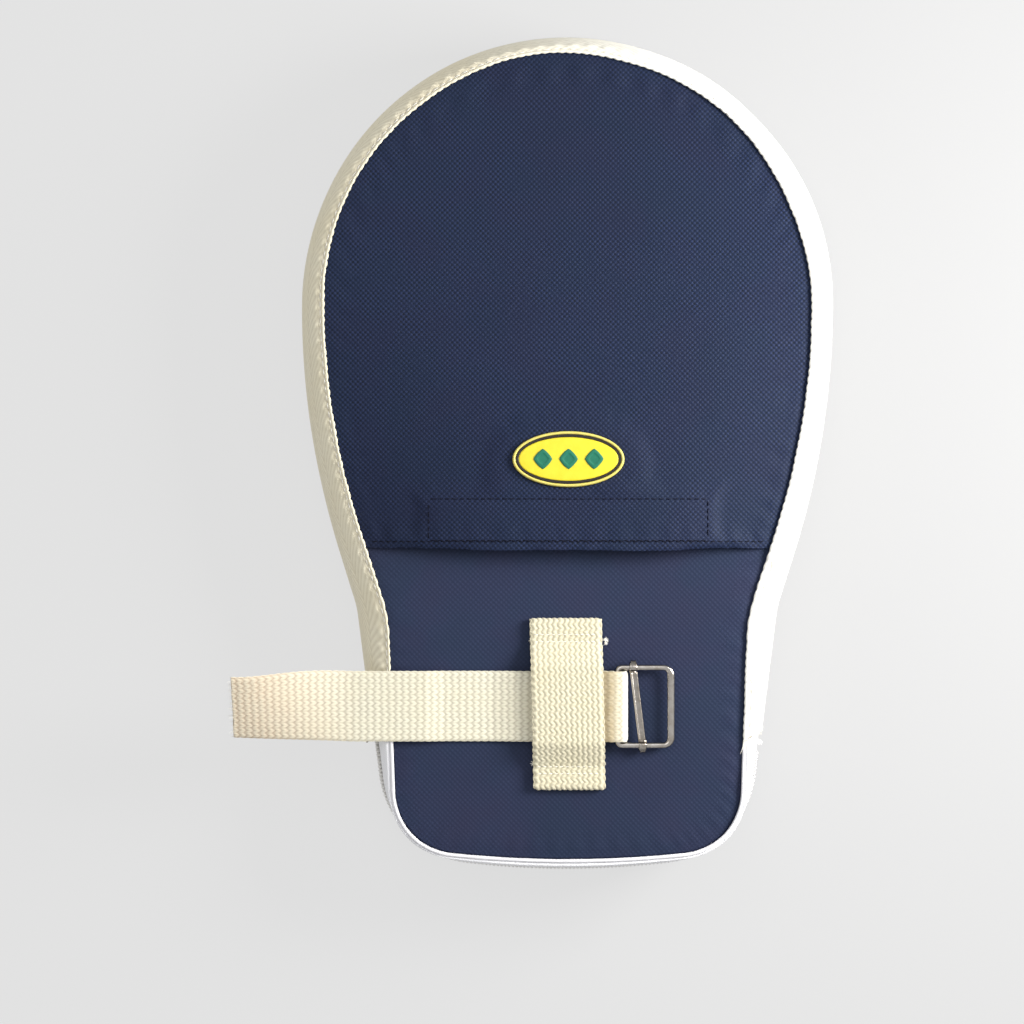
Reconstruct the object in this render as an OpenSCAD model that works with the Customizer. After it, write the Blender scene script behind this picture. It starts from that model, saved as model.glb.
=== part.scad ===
// Keyhole-shaped sparring hand target, lying on its strike face.
// Z is up through the thickness, +Y points to the fingertips, origin under the
// centre of the round head on the strike face.

/* [Body outline] */
// Outer radius of the round head, mm
head_r = 95.6; // [80:0.1:115]
// Outer radius of the long side curve, mm
side_r = 299; // [200:1:400]
// Side curve sweep, degrees
side_a = 17.4; // [10:0.1:24]
// Straight run below the side curve, mm
taper_l = 17.5; // [5:0.5:30]
// Waist radius, mm
waist_r = 36; // [20:1:80]
// Wrist-end side slope, degrees
neck_a = 7.3; // [2:0.1:10]
// Wrist-end side length, mm
neck_l = 57.8; // [45:0.1:70]
// Wrist-end corner radius, mm
corner_r = 36.6; // [15:0.1:50]
// Wrist-end bottom radius, mm
end_r = 276; // [120:1:500]

/* [Back panel outline] */
// Panel head radius, mm
p_head_r = 86; // [70:0.1:105]
// Panel side curve radius, mm
p_side_r = 264; // [180:1:380]
// Panel side curve sweep, degrees
p_side_a = 18.1; // [10:0.1:24]
// Panel straight run, mm
p_taper_l = 22.7; // [5:0.1:30]
// Panel waist radius, mm
p_waist_r = 60; // [20:1:90]
// Panel wrist side slope, degrees
p_neck_a = 2; // [1:0.1:10]
// Panel wrist side length, mm
p_neck_l = 53.7; // [45:0.1:70]
// Panel corner radius, mm
p_corner_r = 22.5; // [12:0.1:40]
// Panel bottom radius, mm
p_end_r = 438; // [120:1:600]

/* [Thickness] */
// Top of the back panel above the strike face, mm
back_z = 38.2; // [30:0.1:50]
// Height of the widest line of the side, mm
mid_z = 20; // [15:0.5:25]
// Back panel cloth, mm
panel_t = 0.8; // [0.5:0.1:1.5]
// Side tape cloth, mm
tape_t = 0.8; // [0.5:0.1:1.2]
// Strike cover, mm
cover_t = 1.2; // [0.8:0.1:2]
// Width of the tape flange on the panel, mm
flange = 2.5; // [1.5:0.1:4]

/* [Hand pocket] */
// Mouth edge of the hand pocket, Y, mm
mouth_y = -88.2; // [-100:0.1:-70]
// Rise of the pocket at its mouth, mm
pocket_rise = 8; // [6:0.1:14]
// Y where the pocket starts to rise, mm
rise_y = 20; // [0:1:40]
// Closing strip width, mm
strip_l = 98.6; // [80:0.1:110]
// Closing strip depth, mm
strip_w = 15.1; // [10:0.1:20]
// Closing strip centre, Y, mm
strip_y = -77.6; // [-82:0.1:-70]
// Closing strip thickness, mm
strip_t = 0.8; // [0.5:0.1:1.2]

/* [Badge] */
// Badge length, mm
badge_l = 39.3; // [30:0.1:45]
// Badge height, mm
badge_h = 19.7; // [15:0.1:25]
// Badge centre, Y, mm
badge_y = -56.4; // [-60:0.1:-45]
// Rim width, mm
badge_rim = 1.3; // [0.8:0.1:2]

/* [Wrist strap] */
// Webbing width, mm
web_w = 25; // [20:1:30]
// Webbing thickness, mm
web_t = 1.4; // [1:0.1:2]
// Strap centre, Y, mm
strap_y = -143.4; // [-150:0.1:-130]
// Free end of the strap, X, mm
strap_end = -118; // [-140:1:-100]
// Where the free tail hinges, X, mm
tail_x = -54; // [-60:1:-52]
// Tail twist at its end, degrees
tail_twist = 28; // [0:1:40]
// Keeper width, mm
keeper_w = 25.7; // [22:0.1:30]
// Keeper length, mm
keeper_l = 60.2; // [50:0.1:70]
// Keeper centre, Y, mm
keeper_y = -142.6; // [-150:0.1:-130]

/* [Buckle] */
// Wire radius, mm
wire_r = 1.1; // [0.9:0.05:1.5]
// Outside length along the strap, mm
buckle_l = 21.1; // [18:0.1:26]
// Outside width across the strap, mm
buckle_w = 29.6; // [28:0.1:34]
// Left outside edge, X, mm
buckle_x = 16.2; // [14:0.1:20]
// Height of the wire centre, mm
buckle_z = 41.2; // [40.8:0.1:42]
// Slide bar position, X, mm
bar_x = 24.55; // [22:0.05:30]
// Slide bar lean across the frame, mm
bar_lean = 3.3; // [0:0.1:4]

/* [Zipper] */
// Coil half width, mm
coil_w = 2.1; // [1.5:0.1:3]
// Coil depth, mm
coil_d = 2.2; // [1.5:0.1:3]
// Height of the zipper line, mm
zip_z = 22; // [18:0.5:26]
// Slider position, Y, mm
slider_y = -144.6; // [-150:0.1:-140]
// Slider length, mm
slider_l = 9; // [7:0.1:12]
// Pull tab length, mm
pull_l = 13; // [10:0.5:20]

/* [Hidden] */
$fn = 48;

nA = 18; nB = 4; nC = 2; nD = 24; nE = 10; nF = 3;
i_neck = nA + nB + 1 + nC;              // first point of the straight wrist side
half = i_neck + nD + nE + nF;           // bottom point
full = 2 * half;
zip_r = i_neck + 18;                    // right end of the zipper
zip_l = full - (i_neck + 10);           // left end, past the bottom

// One side of a keyhole outline, from the top point clockwise to the bottom one.
function pol(c, r, a) = [c[0] + r * cos(a), c[1] + r * sin(a)];
function outline(r1, r2, a2, l2, r3, a3, l3, r4, r5) =
  let (c2 = [r1 - r2, 0], e2 = pol(c2, r2, -a2),
       e3 = e2 + l2 * [-sin(a2), -cos(a2)], c3 = pol(e3, r3, -a2),
       e4 = pol(c3, -r3, -a3), e5 = e4 + l3 * [-sin(a3), -cos(a3)],
       c5 = pol(e5, -r4, -a3), b = asin(c5[0] / (r5 - r4)),
       c6 = [0, c5[1] + (r5 - r4) * cos(b)])
  concat([for (i = [0 : nA]) pol([0, 0], r1, 90 - 90 * i / nA)],
         [for (i = [1 : nB]) pol(c2, r2, -a2 * i / nB)],
         [e3],
         [for (i = [1 : nC]) pol(c3, -r3, -a2 + (a2 - a3) * i / nC)],
         [for (i = [1 : nD]) e4 + (e5 - e4) * i / nD],
         [for (i = [1 : nE]) pol(c5, r4, -a3 - (90 - b - a3) * i / nE)],
         [for (i = [1 : nF]) pol(c6, r5, -(90 - b) - b * i / nF)]);
function both(h) = concat(h, [for (i = [half - 1 : -1 : 1]) [-h[i][0], h[i][1]]]);

S = both(outline(head_r, side_r, side_a, taper_l, waist_r, neck_a, neck_l, corner_r, end_r));
N = both(outline(p_head_r, p_side_r, p_side_a, p_taper_l, p_waist_r, p_neck_a, p_neck_l, p_corner_r, p_end_r));
function unit(v) = v / norm(v);
U = [for (i = [0 : full - 1]) unit(S[i] - N[i])];
// Lift of the flange where the pocket is sewn in under it.
lift_h = 0.85;
L = [for (i = [0 : full - 1]) max(S[i][1], N[i][1]) > mouth_y - 4 ? lift_h : 0];
// 1 along the zipper, falling to 0 over three steps at its ends.
function clamp(x) = min(1, max(0, x));
Z = [for (i = [0 : full - 1]) clamp(min(i - zip_r + 4, zip_l + 4 - i) / 4)];

// A point on the side: f runs from the panel edge (0) to the widest line (1),
// d is a shift outwards, q[3] lifts with the pocket, q[4] steps in at the zipper.
function at(k, q) =
  let (i = (k + full) % full, p = N[i] + q[0] * (S[i] - N[i]) + (q[1] - q[4] * Z[i]) * U[i])
  [p[0], p[1], q[2] + q[3] * L[i]];

top_b = back_z + 0.05 + tape_t - mid_z;
// Side curve at angle a, t under the surface, s inset at the widest line.
function sd(a, t = 0, s = 0, w = 0) =
  let (b = a > 0 ? top_b : mid_z, nn = unit([cos(a) * b, sin(a) * 9]))
  [cos(a), flange * (1 - cos(a)) - s * cos(a) - t * nn[0],
   mid_z + b * sin(a) - t * nn[1], a > 60 ? 1 : (a > 45 ? 0.6 : (a > 30 ? 0.2 : 0)), w * cos(a)];
function rev(v) = [for (i = [len(v) - 1 : -1 : 0]) v[i]];

// Strip of constant section from station k0 to k1, section listed outside down, inside up.
module strip(sec, k0, k1) {
  m = len(sec); n = k1 - k0;
  polyhedron(
    points = [for (k = [k0 : k1]) for (q = sec) at(k, q)],
    faces = concat(
      [rev([for (j = [0 : m - 1]) j])],
      [[for (j = [0 : m - 1]) n * m + j]],
      [for (k = [0 : n - 1]) for (j = [0 : m - 1]) let (j2 = (j + 1) % m)
        each [[k * m + j, k * m + j2, (k + 1) * m + j2], [k * m + j, (k + 1) * m + j2, (k + 1) * m + j]]]),
    convexity = 8);
}
// Closed body through a stack of levels, each a full outline.
module loft(levels) {
  m = full; n = len(levels);
  polyhedron(
    points = [for (q = levels) for (i = [0 : m - 1]) at(i, q)],
    faces = concat(
      [rev([for (i = [0 : m - 1]) i])],
      [[for (i = [0 : m - 1]) (n - 1) * m + i]],
      [for (k = [0 : n - 2]) for (i = [0 : m - 1]) let (i2 = (i + 1) % m)
        each [[k * m + i, k * m + i2, (k + 1) * m + i2], [k * m + i, (k + 1) * m + i2, (k + 1) * m + i]]]),
    convexity = 8);
}

/* ---- padding and covers ---- */
module strike_cover() color("#20242e")
  loft(concat([for (a = [-90, -80, -70, -60, -49.5]) sd(a)],
              [for (a = [-49.5, -60, -70, -80]) sd(a, cover_t)]));
foam_gap = 0.25;
slider_room = 4.4;
function fill(a) = let (q = sd(a, cover_t + foam_gap, 0, slider_room))
  [q[0], q[1], min(q[2], back_z - panel_t - 0.1), 0, q[4]];
module strike_foam() color("#e7e1d2") loft([for (a = [-85, -72, -56, -41, -27]) fill(a)]);
module impact_core() color("#3c3f45") loft([for (a = [-26.4, -13, 0, 12, 24, 36]) fill(a)]);
module palm_foam() color("#e7e1d2") loft([for (a = [36.6, 50, 64]) fill(a)]);
module back_panel() color("#2b3144")
  translate([0, 0, back_z - panel_t]) linear_extrude(panel_t)
    polygon([for (i = [0 : full - 1]) let (p = at(i, [0, flange - 0.3, 0, 0, 0])) [p[0], p[1]]]);

/* ---- hand pocket ---- */
pr = p_head_r + flange - 0.3;
ps = p_side_r + flange - 0.3;
pey = -ps * sin(p_side_a);
pex = p_head_r - p_side_r + ps * cos(p_side_a);
function half_w(y) = y >= 0 ? sqrt(pr * pr - y * y)
  : (y >= pey ? p_head_r - p_side_r + sqrt(ps * ps - y * y) : pex + (y - pey) * tan(p_side_a));
function crown(s) = let (t = clamp((abs(s) - 0.74) / 0.22)) 0.5 + 0.5 * cos(180 * t);
function rise(y) = pocket_rise * clamp((rise_y - y) / (rise_y - mouth_y));
rows_y = concat([for (j = [0 : 5]) mouth_y * (1 - j / 6)], [0],
                [for (a = [rise_y / pr * 57.3, 22, 31, 40, 49, 58, 66, 74, 81, 87]) pr * sin(a)]);
cols_s = [-1, -0.96, -0.92, -0.88, -0.83, -0.785, -0.74, -0.37, 0, 0.37, 0.74, 0.785, 0.83, 0.88, 0.92, 0.96, 1];
module pocket_sheet(z0, t) {
  nr = len(rows_y); nc = len(cols_s); h = nr * nc;
  polyhedron(
    points = concat(
      [for (y = rows_y) for (s = cols_s) [s * half_w(y), y, z0 + rise(y) * crown(s)]],
      [for (y = rows_y) for (s = cols_s) [s * half_w(y), y, z0 + t + rise(y) * crown(s)]]),
    faces = concat(
      [for (r = [0 : nr - 2]) for (c = [0 : nc - 2]) let (a = r * nc + c)
        each [[a, a + 1, a + nc + 1], [a, a + nc + 1, a + nc],
              [h + a, h + a + nc + 1, h + a + 1], [h + a, h + a + nc, h + a + nc + 1]]],
      [for (c = [0 : nc - 2]) each [[c, h + c, h + c + 1], [c, h + c + 1, c + 1]]],
      [for (c = [0 : nc - 2]) let (a = (nr - 1) * nc + c) each [[a, h + a + 1, h + a], [a, a + 1, h + a + 1]]],
      [for (r = [0 : nr - 2]) let (a = r * nc, b = a + nc - 1)
        each [[a, h + a + nc, h + a], [a, a + nc, h + a + nc],
              [b, h + b, h + b + nc], [b, h + b + nc, b + nc]]]),
    convexity = 8);
}
lining_t = 0.3; pocket_t = 0.4;
pocket_z = back_z + 0.4;
module pocket_lining() color("#343b50") pocket_sheet(back_z + 0.05, lining_t);
module pocket_panel() color("#2b3144") pocket_sheet(pocket_z, pocket_t);
tilt = atan(pocket_rise / (rise_y - mouth_y));
// Frame lying on the sloping flat of the pocket, with Y measured as in the plan.
module on_pocket(y, z) translate([0, rise_y, z]) rotate([-tilt, 0, 0])
  translate([0, (y - rise_y) / cos(tilt), 0]) children();
module plate(x, y, t) translate([-x / 2, -y / 2, 0]) cube([x, y, t]);
module hook_strip() color("#1d2029")
  on_pocket(strip_y, back_z + 0.05) translate([0, 0, -strip_t - 0.05]) plate(strip_l, strip_w, strip_t);
module loop_strip() color("#1d2029")
  translate([0, strip_y, back_z + 0.05]) plate(strip_l, strip_w, strip_t);
module hem_thread() color("#1b1f2b")
  on_pocket(strip_y, pocket_z + pocket_t + 0.03) {
    for (s = [-1, 1]) {
      translate([0, s * (strip_w / 2 - 0.25), 0]) plate(strip_l, 0.5, 0.25);
      translate([s * (strip_l / 2 - 0.25), 0, 0]) plate(0.5, strip_w, 0.25);
    }
    translate([0, -strip_w / 2 + 0.25, 0]) plate(104, 0.5, 0.25);
  }

/* ---- side tape ---- */
tape_a = [90, 76, 62, 46, 30, 14, 0, -16, -32, -47.5];
module side_tape() color("#d9cfb4")
  strip(concat([[0, 0, back_z + 0.05 + tape_t, 1, 0]], [for (a = tape_a) sd(a)],
               rev([for (a = tape_a) sd(a, tape_t)]), [[0, 0, back_z + 0.05, 1, 0]]),
        zip_l, full + zip_r);
module tape_thread() color("#efe8d6")
  strip([for (q = [[1.2, 0.35], [1.7, 0.35], [1.7, 0.03], [1.2, 0.03]])
          [0, q[0], back_z + 0.05 + tape_t + q[1], 1, 0]], zip_l, full + zip_r);

/* ---- zipper round the wrist end ---- */
inset = coil_d + 0.1;
zt = 0.7;
zip_up = [84, 66, 48, 32, 18, 7.6];
zip_dn = [4.4, -6, -18, -30, -40, -47.5];
module zipper_piping() color("#f2efe6")
  strip([for (q = [[0, 0.6], [0.35, 1.25], [1.15, 1.25], [1.5, 0.6], [1.5, 0.05], [0, 0.05]])
          [0, q[0], back_z + q[1], 0, 0]], zip_r, zip_l);
module zipper_tape_upper() color("#e9e5da")
  strip(concat([for (a = zip_up) sd(a, 0, inset)], rev([for (a = zip_up) sd(a, zt, inset)])),
        zip_r, zip_l);
module zipper_tape_lower() color("#e9e5da")
  strip(concat([for (a = zip_dn) sd(a, 0, inset)], rev([for (a = zip_dn) sd(a, zt, inset)])),
        zip_r, zip_l);
slot_h = 0.5;
module coil(s) strip(
  s > 0 ? [for (q = [[-0.5, coil_w + slot_h], [0, coil_w], [0, slot_h + 0.3], [-0.3, slot_h], [-coil_d, slot_h], [-coil_d, coil_w + slot_h]])
            [1, q[0], zip_z + q[1], 0, 0]]
        : [for (q = [[-0.3, -slot_h], [0, -slot_h - 0.3], [0, -coil_w], [-0.5, -coil_w - slot_h], [-coil_d, -coil_w - slot_h], [-coil_d, -slot_h]])
            [1, q[0], zip_z + q[1], 0, 0]],
  zip_r + 2, zip_l - 2);
module zipper_coil_upper() color("#f4f1ea") coil(1);
module zipper_coil_lower() color("#f4f1ea") coil(-1);

// Frame on the side at height zip_z: x outwards, y along the zipper.
neck0 = S[i_neck];
function side_x(y) = neck0[0] + (y - neck0[1]) * tan(neck_a);
module on_left(y) translate([-side_x(y), y, zip_z]) rotate([0, 0, 180 + neck_a]) children();
module on_right(y) translate([side_x(y), y, zip_z]) rotate([0, 0, -neck_a]) children();
module stop() translate([-1.2, -0.8, -2.8]) cube([1.5, 1.6, 5.6]);
module zipper_top_stop() color("#b9bcc2") on_left(-138.2) stop();
module zipper_bottom_stop() color("#b9bcc2") on_right(-157.6) stop();
sl = slider_l / 2;
module zipper_slider() color("#b4b7bd") on_left(slider_y) difference() {
  union() {
    translate([0.3, -sl, -4.3]) cube([1, slider_l, 8.6]);
    for (s = [-1, 1]) translate([-1.6, -sl, s > 0 ? 2.9 : -4.3]) cube([2, slider_l, 1.4]);
    translate([-4.2, -sl, -4.3]) cube([0.9, slider_l, 8.6]);
    translate([-4, -sl, -0.25]) cube([4.6, 1.6, 0.5]);
    translate([1.2, -2.5, -0.9]) cube([2.3, 5, 1.8]);
  }
  translate([2.3, 0, -2]) cylinder(r = 0.66, h = 4);
}
module zipper_pull() color("#c4c7cc") on_left(slider_y) {
  translate([2.3, 0, -2.3]) cylinder(r = 0.6, h = 4.6);
  for (s = [-1, 1]) translate([1.8, -0.4, s > 0 ? 1.2 : -2.3]) cube([1, 4.4, 1.1]);
  difference() {
    translate([1.8, 3.3, -2.3]) cube([1, pull_l - 3.3, 4.6]);
    translate([1, pull_l - 3, 0]) rotate([0, 90, 0]) cylinder(r = 1.1, h = 3);
  }
}

/* ---- wrist strap and keeper ---- */
k0 = back_z + 0.05;                     // underside of the keeper's folded ends
module yz(w) rotate([90, 0, 90]) translate([0, 0, -w / 2]) linear_extrude(w) children();
// Folded ends, then up and over the strap: outside and inside of one half.
hl = keeper_l / 2;
lay = web_t + 0.1;
keep_in = [[hl - 0.8, 0], [hl - 12.5, 0], [hl - 12.5, web_t], [hl - web_t, web_t],
           [hl - web_t, lay], [20.3, lay], [13.9, 5.35]];
keep_out = [[14.7, 5.35 + web_t], [21.2, lay + web_t], [hl - 0.8, lay + web_t],
            [hl, lay + 0.7], [hl, 0.7]];
function flip(v) = [for (p = v) [-p[0], p[1]]];
module strap_keeper() color("#dcd2b6")
  translate([-0.2, keeper_y, k0]) yz(keeper_w)
    polygon(concat(keep_in, flip(rev(keep_in)), flip(rev(keep_out)), keep_out));
module keeper_thread() color("#f1ecdf")
  for (s = [-1, 1]) for (r = [22, 24.5]) translate([-0.2, keeper_y + s * r, k0 + 2 * web_t + 0.12]) plate(24, 0.5, 0.25);

s0 = back_z + 0.3;                      // underside of the strap on the panel
fold_x = 18.6;
// Side view of the strap: short leg, fold round the buckle bar, long leg down to the panel.
up = 2 * buckle_z - s0 - web_t;
strap_low = [[tail_x + 0.15, 1], [-50, 1], [-44, 0], [-27, 0], [-15, 1.55], [8, 1.55]];
function arc(r, a0, a1) = [for (k = [0 : 12]) pol([fold_x, buckle_z], r, a0 + (a1 - a0) * k / 12)];
module strap_side()
  polygon(concat([[-10, s0]], arc(buckle_z - s0, -90, 90), [[15.5, up + web_t]],
                 [for (p = rev(strap_low)) [p[0], s0 + web_t + p[1]]],
                 [for (p = strap_low) [p[0], s0 + p[1]]], [[15.5, up]],
                 arc(buckle_z - s0 - web_t, 90, -90), [[-10, s0 + web_t]]));
module wrist_strap() color("#ded4b8")
  translate([0, strap_y + web_w / 2, 0]) rotate([90, 0, 0]) linear_extrude(web_w) strap_side();
// Free tail: flat where it leaves the pad, then turning about its near edge.
tail_n = 16;
tw0 = -76;
module strap_tail() color("#ded4b8") {
  x0 = tail_x - 0.15;
  st = [for (k = [0 : tail_n]) x0 + (strap_end - x0) * k / tail_n];
  polyhedron(
    points = [for (x = st) let (u = clamp((tw0 - x) / (tw0 - strap_end)), a = tail_twist * u * u * (3 - 2 * u),
                               sh = 1.8 * u, z = s0 + 1)
      each [for (p = [[0, 0], [web_w, 0], [web_w, web_t], [0, web_t]])
        [x, strap_y - web_w / 2 + sh + p[0] * cos(a) - p[1] * sin(a), z + p[0] * sin(a) + p[1] * cos(a)]]],
    faces = concat([[3, 2, 1, 0]], [[for (j = [0 : 3]) tail_n * 4 + j]],
      [for (k = [0 : tail_n - 1]) for (j = [0 : 3]) let (j2 = (j + 1) % 4)
        each [[k * 4 + j, k * 4 + j2, (k + 1) * 4 + j2], [k * 4 + j, (k + 1) * 4 + j2, (k + 1) * 4 + j]]]));
}

/* ---- buckle ---- */
bx0 = buckle_x + wire_r;
bx1 = buckle_x + buckle_l - wire_r;
by = buckle_w / 2 - wire_r;
cr = 1.8;                               // bend radius of the wire
module bar(p, v, l) translate(p) rotate(v) cylinder(r = wire_r, h = l);
module bend(x, y, a) translate([x, y, 0]) rotate([0, 0, a]) rotate_extrude(angle = 90) translate([cr, 0]) circle(r = wire_r);
module buckle_frame() color("#b8bbc0") translate([0, strap_y, buckle_z]) {
  bar([bx0, by - cr, 0], [90, 0, 0], 2 * (by - cr));
  bar([bx1, by - cr, 0], [90, 0, 0], 2 * (by - cr));
  for (s = [-1, 1]) bar([bx0 + cr, s * by, 0], [0, 90, 0], bx1 - bx0 - 2 * cr);
  bend(bx1 - cr, by - cr, 0);
  bend(bx0 + cr, by - cr, 90);
  bend(bx0 + cr, -by + cr, 180);
  bend(bx1 - cr, -by + cr, 270);
}
curl_r = wire_r + 0.08;
module curl(x, y) translate([x - 1.4, y, 0]) rotate([0, 90, 0]) difference() {
  cylinder(r = curl_r + 0.75, h = 2.8);
  translate([0, 0, -1]) cylinder(r = curl_r, h = 5);
}
module buckle_slide_bar() color("#a9acb2") translate([0, strap_y, buckle_z]) {
  curl(bar_x - bar_lean / 2, by);
  curl(bar_x + bar_lean / 2, -by);
  translate([bar_x, 0, 0]) rotate([0, 0, atan(bar_lean / (2 * by))])
    translate([-1.4, -by + curl_r + 0.25, -0.4]) cube([2.8, 2 * (by - curl_r - 0.25), 0.8]);
}

/* ---- badge ---- */
bz = pocket_z + pocket_t + 0.05;
module oval(k, t) linear_extrude(t)
  polygon([for (i = [0 : 71]) [(badge_l / 2 - k) * cos(5 * i), (badge_h / 2 - k) * sin(5 * i)]]);
module badge_base() color("#d8c9a0") on_pocket(badge_y, bz) difference() {
  oval(0, 1.5);
  translate([0, 0, 0.7]) oval(badge_rim, 2);
}
module badge_ring() color("#15161a") on_pocket(badge_y, bz) translate([0, 0, 0.75]) difference() {
  oval(badge_rim + 0.05, 0.55);
  translate([0, 0, -1]) oval(badge_rim + 0.9, 3);
}
module badge_field() color("#e2b93a") on_pocket(badge_y, bz) translate([0, 0, 0.75]) oval(badge_rim + 0.95, 0.45);
module badge_mark() color("#1f6b3e") on_pocket(badge_y, bz) translate([0, 0, 1.23]) {
  for (x = [-9, 0, 9]) translate([x, 0, 0]) linear_extrude(0.3)
    polygon([[-3.2, 0], [0, 3.4], [3.2, 0], [0, -3.4]]);
}

strike_cover();
strike_foam();
impact_core();
palm_foam();
back_panel();
pocket_lining();
pocket_panel();
hook_strip();
loop_strip();
hem_thread();
side_tape();
tape_thread();
zipper_piping();
zipper_tape_upper();
zipper_tape_lower();
zipper_coil_upper();
zipper_coil_lower();
zipper_top_stop();
zipper_bottom_stop();
zipper_slider();
zipper_pull();
strap_keeper();
keeper_thread();
wrist_strap();
strap_tail();
buckle_frame();
buckle_slide_bar();
badge_base();
badge_ring();
badge_field();
badge_mark();
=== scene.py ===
import math
import random

import bpy
import numpy as np
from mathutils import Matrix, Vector


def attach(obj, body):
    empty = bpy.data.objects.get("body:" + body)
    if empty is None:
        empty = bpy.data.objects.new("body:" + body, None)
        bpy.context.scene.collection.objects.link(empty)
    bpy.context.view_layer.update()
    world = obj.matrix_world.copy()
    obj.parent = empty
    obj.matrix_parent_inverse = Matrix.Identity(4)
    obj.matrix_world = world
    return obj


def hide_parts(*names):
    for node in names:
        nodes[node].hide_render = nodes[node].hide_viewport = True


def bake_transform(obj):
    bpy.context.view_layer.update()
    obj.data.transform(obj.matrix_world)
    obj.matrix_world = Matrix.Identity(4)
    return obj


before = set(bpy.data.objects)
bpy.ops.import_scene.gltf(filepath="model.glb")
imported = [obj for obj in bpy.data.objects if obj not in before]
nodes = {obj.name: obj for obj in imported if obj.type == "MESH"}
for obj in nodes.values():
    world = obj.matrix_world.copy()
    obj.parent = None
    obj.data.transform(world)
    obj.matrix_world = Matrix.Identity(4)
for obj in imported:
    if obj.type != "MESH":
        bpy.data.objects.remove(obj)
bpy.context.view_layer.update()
scene = bpy.context.scene
rng = np.random.default_rng(7)
MM = 0.001

# ---------------------------------------------------------------- camera
cam_data = bpy.data.cameras.new("camera")
cam = bpy.data.objects.new("camera", cam_data)
scene.collection.objects.link(cam)
scene.camera = cam
cam_data.sensor_width = 36
cam_data.lens = 90.7
cam_data.clip_start = 0.05
cam_data.clip_end = 20
cam.location = (-0.0198, -0.0749, 0.950)
cam.rotation_euler = (0, 0, 0)

# ---------------------------------------------------------------- sizes, mm
S_P = (95.6, 299, 17.4, 17.5, 36, 7.3, 57.8, 36.6, 276)
N_P = (86, 264, 18.1, 22.7, 60, 2, 53.7, 22.5, 438)
BACK, MID, FL = 38.2, 20.0, 2.5
TOP_B = BACK + 0.85 - MID
MOUTH, RISE, RISE_Y = -88.2, 8.0, 20.0
STRAP_Y, KEEP_Y = -143.4, -142.6
LIFT = 0.85


def pol(c, r, a):
    a = math.radians(a)
    return np.array([c[0] + r * math.cos(a), c[1] + r * math.sin(a)])


class Chain:
    """One side of the keyhole outline; t runs 0..62 as in the CAD stations."""

    def __init__(self, p):
        r1, r2, a2, l2, r3, a3, l3, r4, r5 = p
        rad = math.radians
        self.p = p
        self.c2 = np.array([r1 - r2, 0.0])
        self.e2 = pol(self.c2, r2, -a2)
        self.e3 = self.e2 + l2 * np.array([-math.sin(rad(a2)), -math.cos(rad(a2))])
        self.c3 = pol(self.e3, r3, -a2)
        self.e4 = pol(self.c3, -r3, -a3)
        self.e5 = self.e4 + l3 * np.array([-math.sin(rad(a3)), -math.cos(rad(a3))])
        self.c5 = pol(self.e5, -r4, -a3)
        self.b = math.degrees(math.asin(self.c5[0] / (r5 - r4)))
        self.c6 = np.array([0, self.c5[1] + (r5 - r4) * math.cos(rad(self.b))])

    def at(self, t):
        r1, r2, a2, l2, r3, a3, l3, r4, r5 = self.p
        if t <= 18:
            return pol((0, 0), r1, 90 - 5 * t)
        if t <= 22:
            return pol(self.c2, r2, -a2 * (t - 18) / 4)
        if t <= 23:
            return self.e2 + (self.e3 - self.e2) * (t - 22)
        if t <= 25:
            return pol(self.c3, -r3, -a2 + (a2 - a3) * (t - 23) / 2)
        if t <= 49:
            return self.e4 + (self.e5 - self.e4) * (t - 25) / 24
        if t <= 59:
            return pol(self.c5, r4, -a3 - (90 - self.b - a3) * (t - 49) / 10)
        return pol(self.c6, r5, -(90 - self.b) - self.b * (t - 59) / 3)


SC, NC = Chain(S_P), Chain(N_P)
FULL, ZIP_R, ZIP_L = 124, 43, 89


def both(ch, t):
    t = t % FULL
    if t <= 62:
        return ch.at(t)
    q = ch.at(FULL - t)
    return np.array([-q[0], q[1]])


def smooth(x):
    x = np.clip(x, 0, 1)
    return x * x * (3 - 2 * x)


class Line:
    """Stations along the outline at even steps of real length, from t0 to t1."""

    def __init__(self, t0, t1, step):
        tt = np.linspace(t0, t1, int((t1 - t0) * 24) + 1)
        s = np.array([both(SC, t) for t in tt])
        n = np.array([both(NC, t) for t in tt])
        m = 0.35 * n + 0.65 * s
        ln = np.concatenate([[0], np.cumsum(np.linalg.norm(np.diff(m, axis=0), axis=1))])
        self.length = ln[-1]
        k = max(2, int(round(ln[-1] / step)) + 1)
        self.u = np.linspace(0, ln[-1], k)
        self.t = np.interp(self.u, ln, tt)
        self.S = np.array([both(SC, t) for t in self.t])
        self.N = np.array([both(NC, t) for t in self.t])
        d = self.S - self.N
        self.W = np.linalg.norm(d, axis=1)
        self.U = d / self.W[:, None]
        # how far the edge is lifted: none below the pocket mouth, LIFT above it
        self.lift = LIFT * smooth((self.N[:, 1] - MOUTH + 3.0) / 6.0)
        self.k = k

    def at(self, f, d, z):
        """f, d, z broadcast over (k, m)."""
        f, d, z = (np.broadcast_to(np.asarray(a, float), (self.k, np.shape(a)[-1])) for a in (f, d, z))
        p = self.N[:, None, :] + f[..., None] * (self.S - self.N)[:, None, :] + d[..., None] * self.U[:, None, :]
        return np.concatenate([p, z[..., None]], axis=2)


def sd(a, t=0.0, s=0.0):
    """Side curve as in the CAD: (f, d, z, lift weight) at angle a degrees."""
    a = np.asarray(a, float)
    r = np.radians(a)
    b = np.where(a > 0, TOP_B, MID)
    nx, nz = np.cos(r) * b, np.sin(r) * 9
    ln = np.hypot(nx, nz)
    nx, nz = nx / ln, nz / ln
    return (np.cos(r), FL * (1 - np.cos(r)) - s * np.cos(r) - t * nx, MID + b * np.sin(r) - t * nz,
            smooth((a - 25) / 45))


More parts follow.
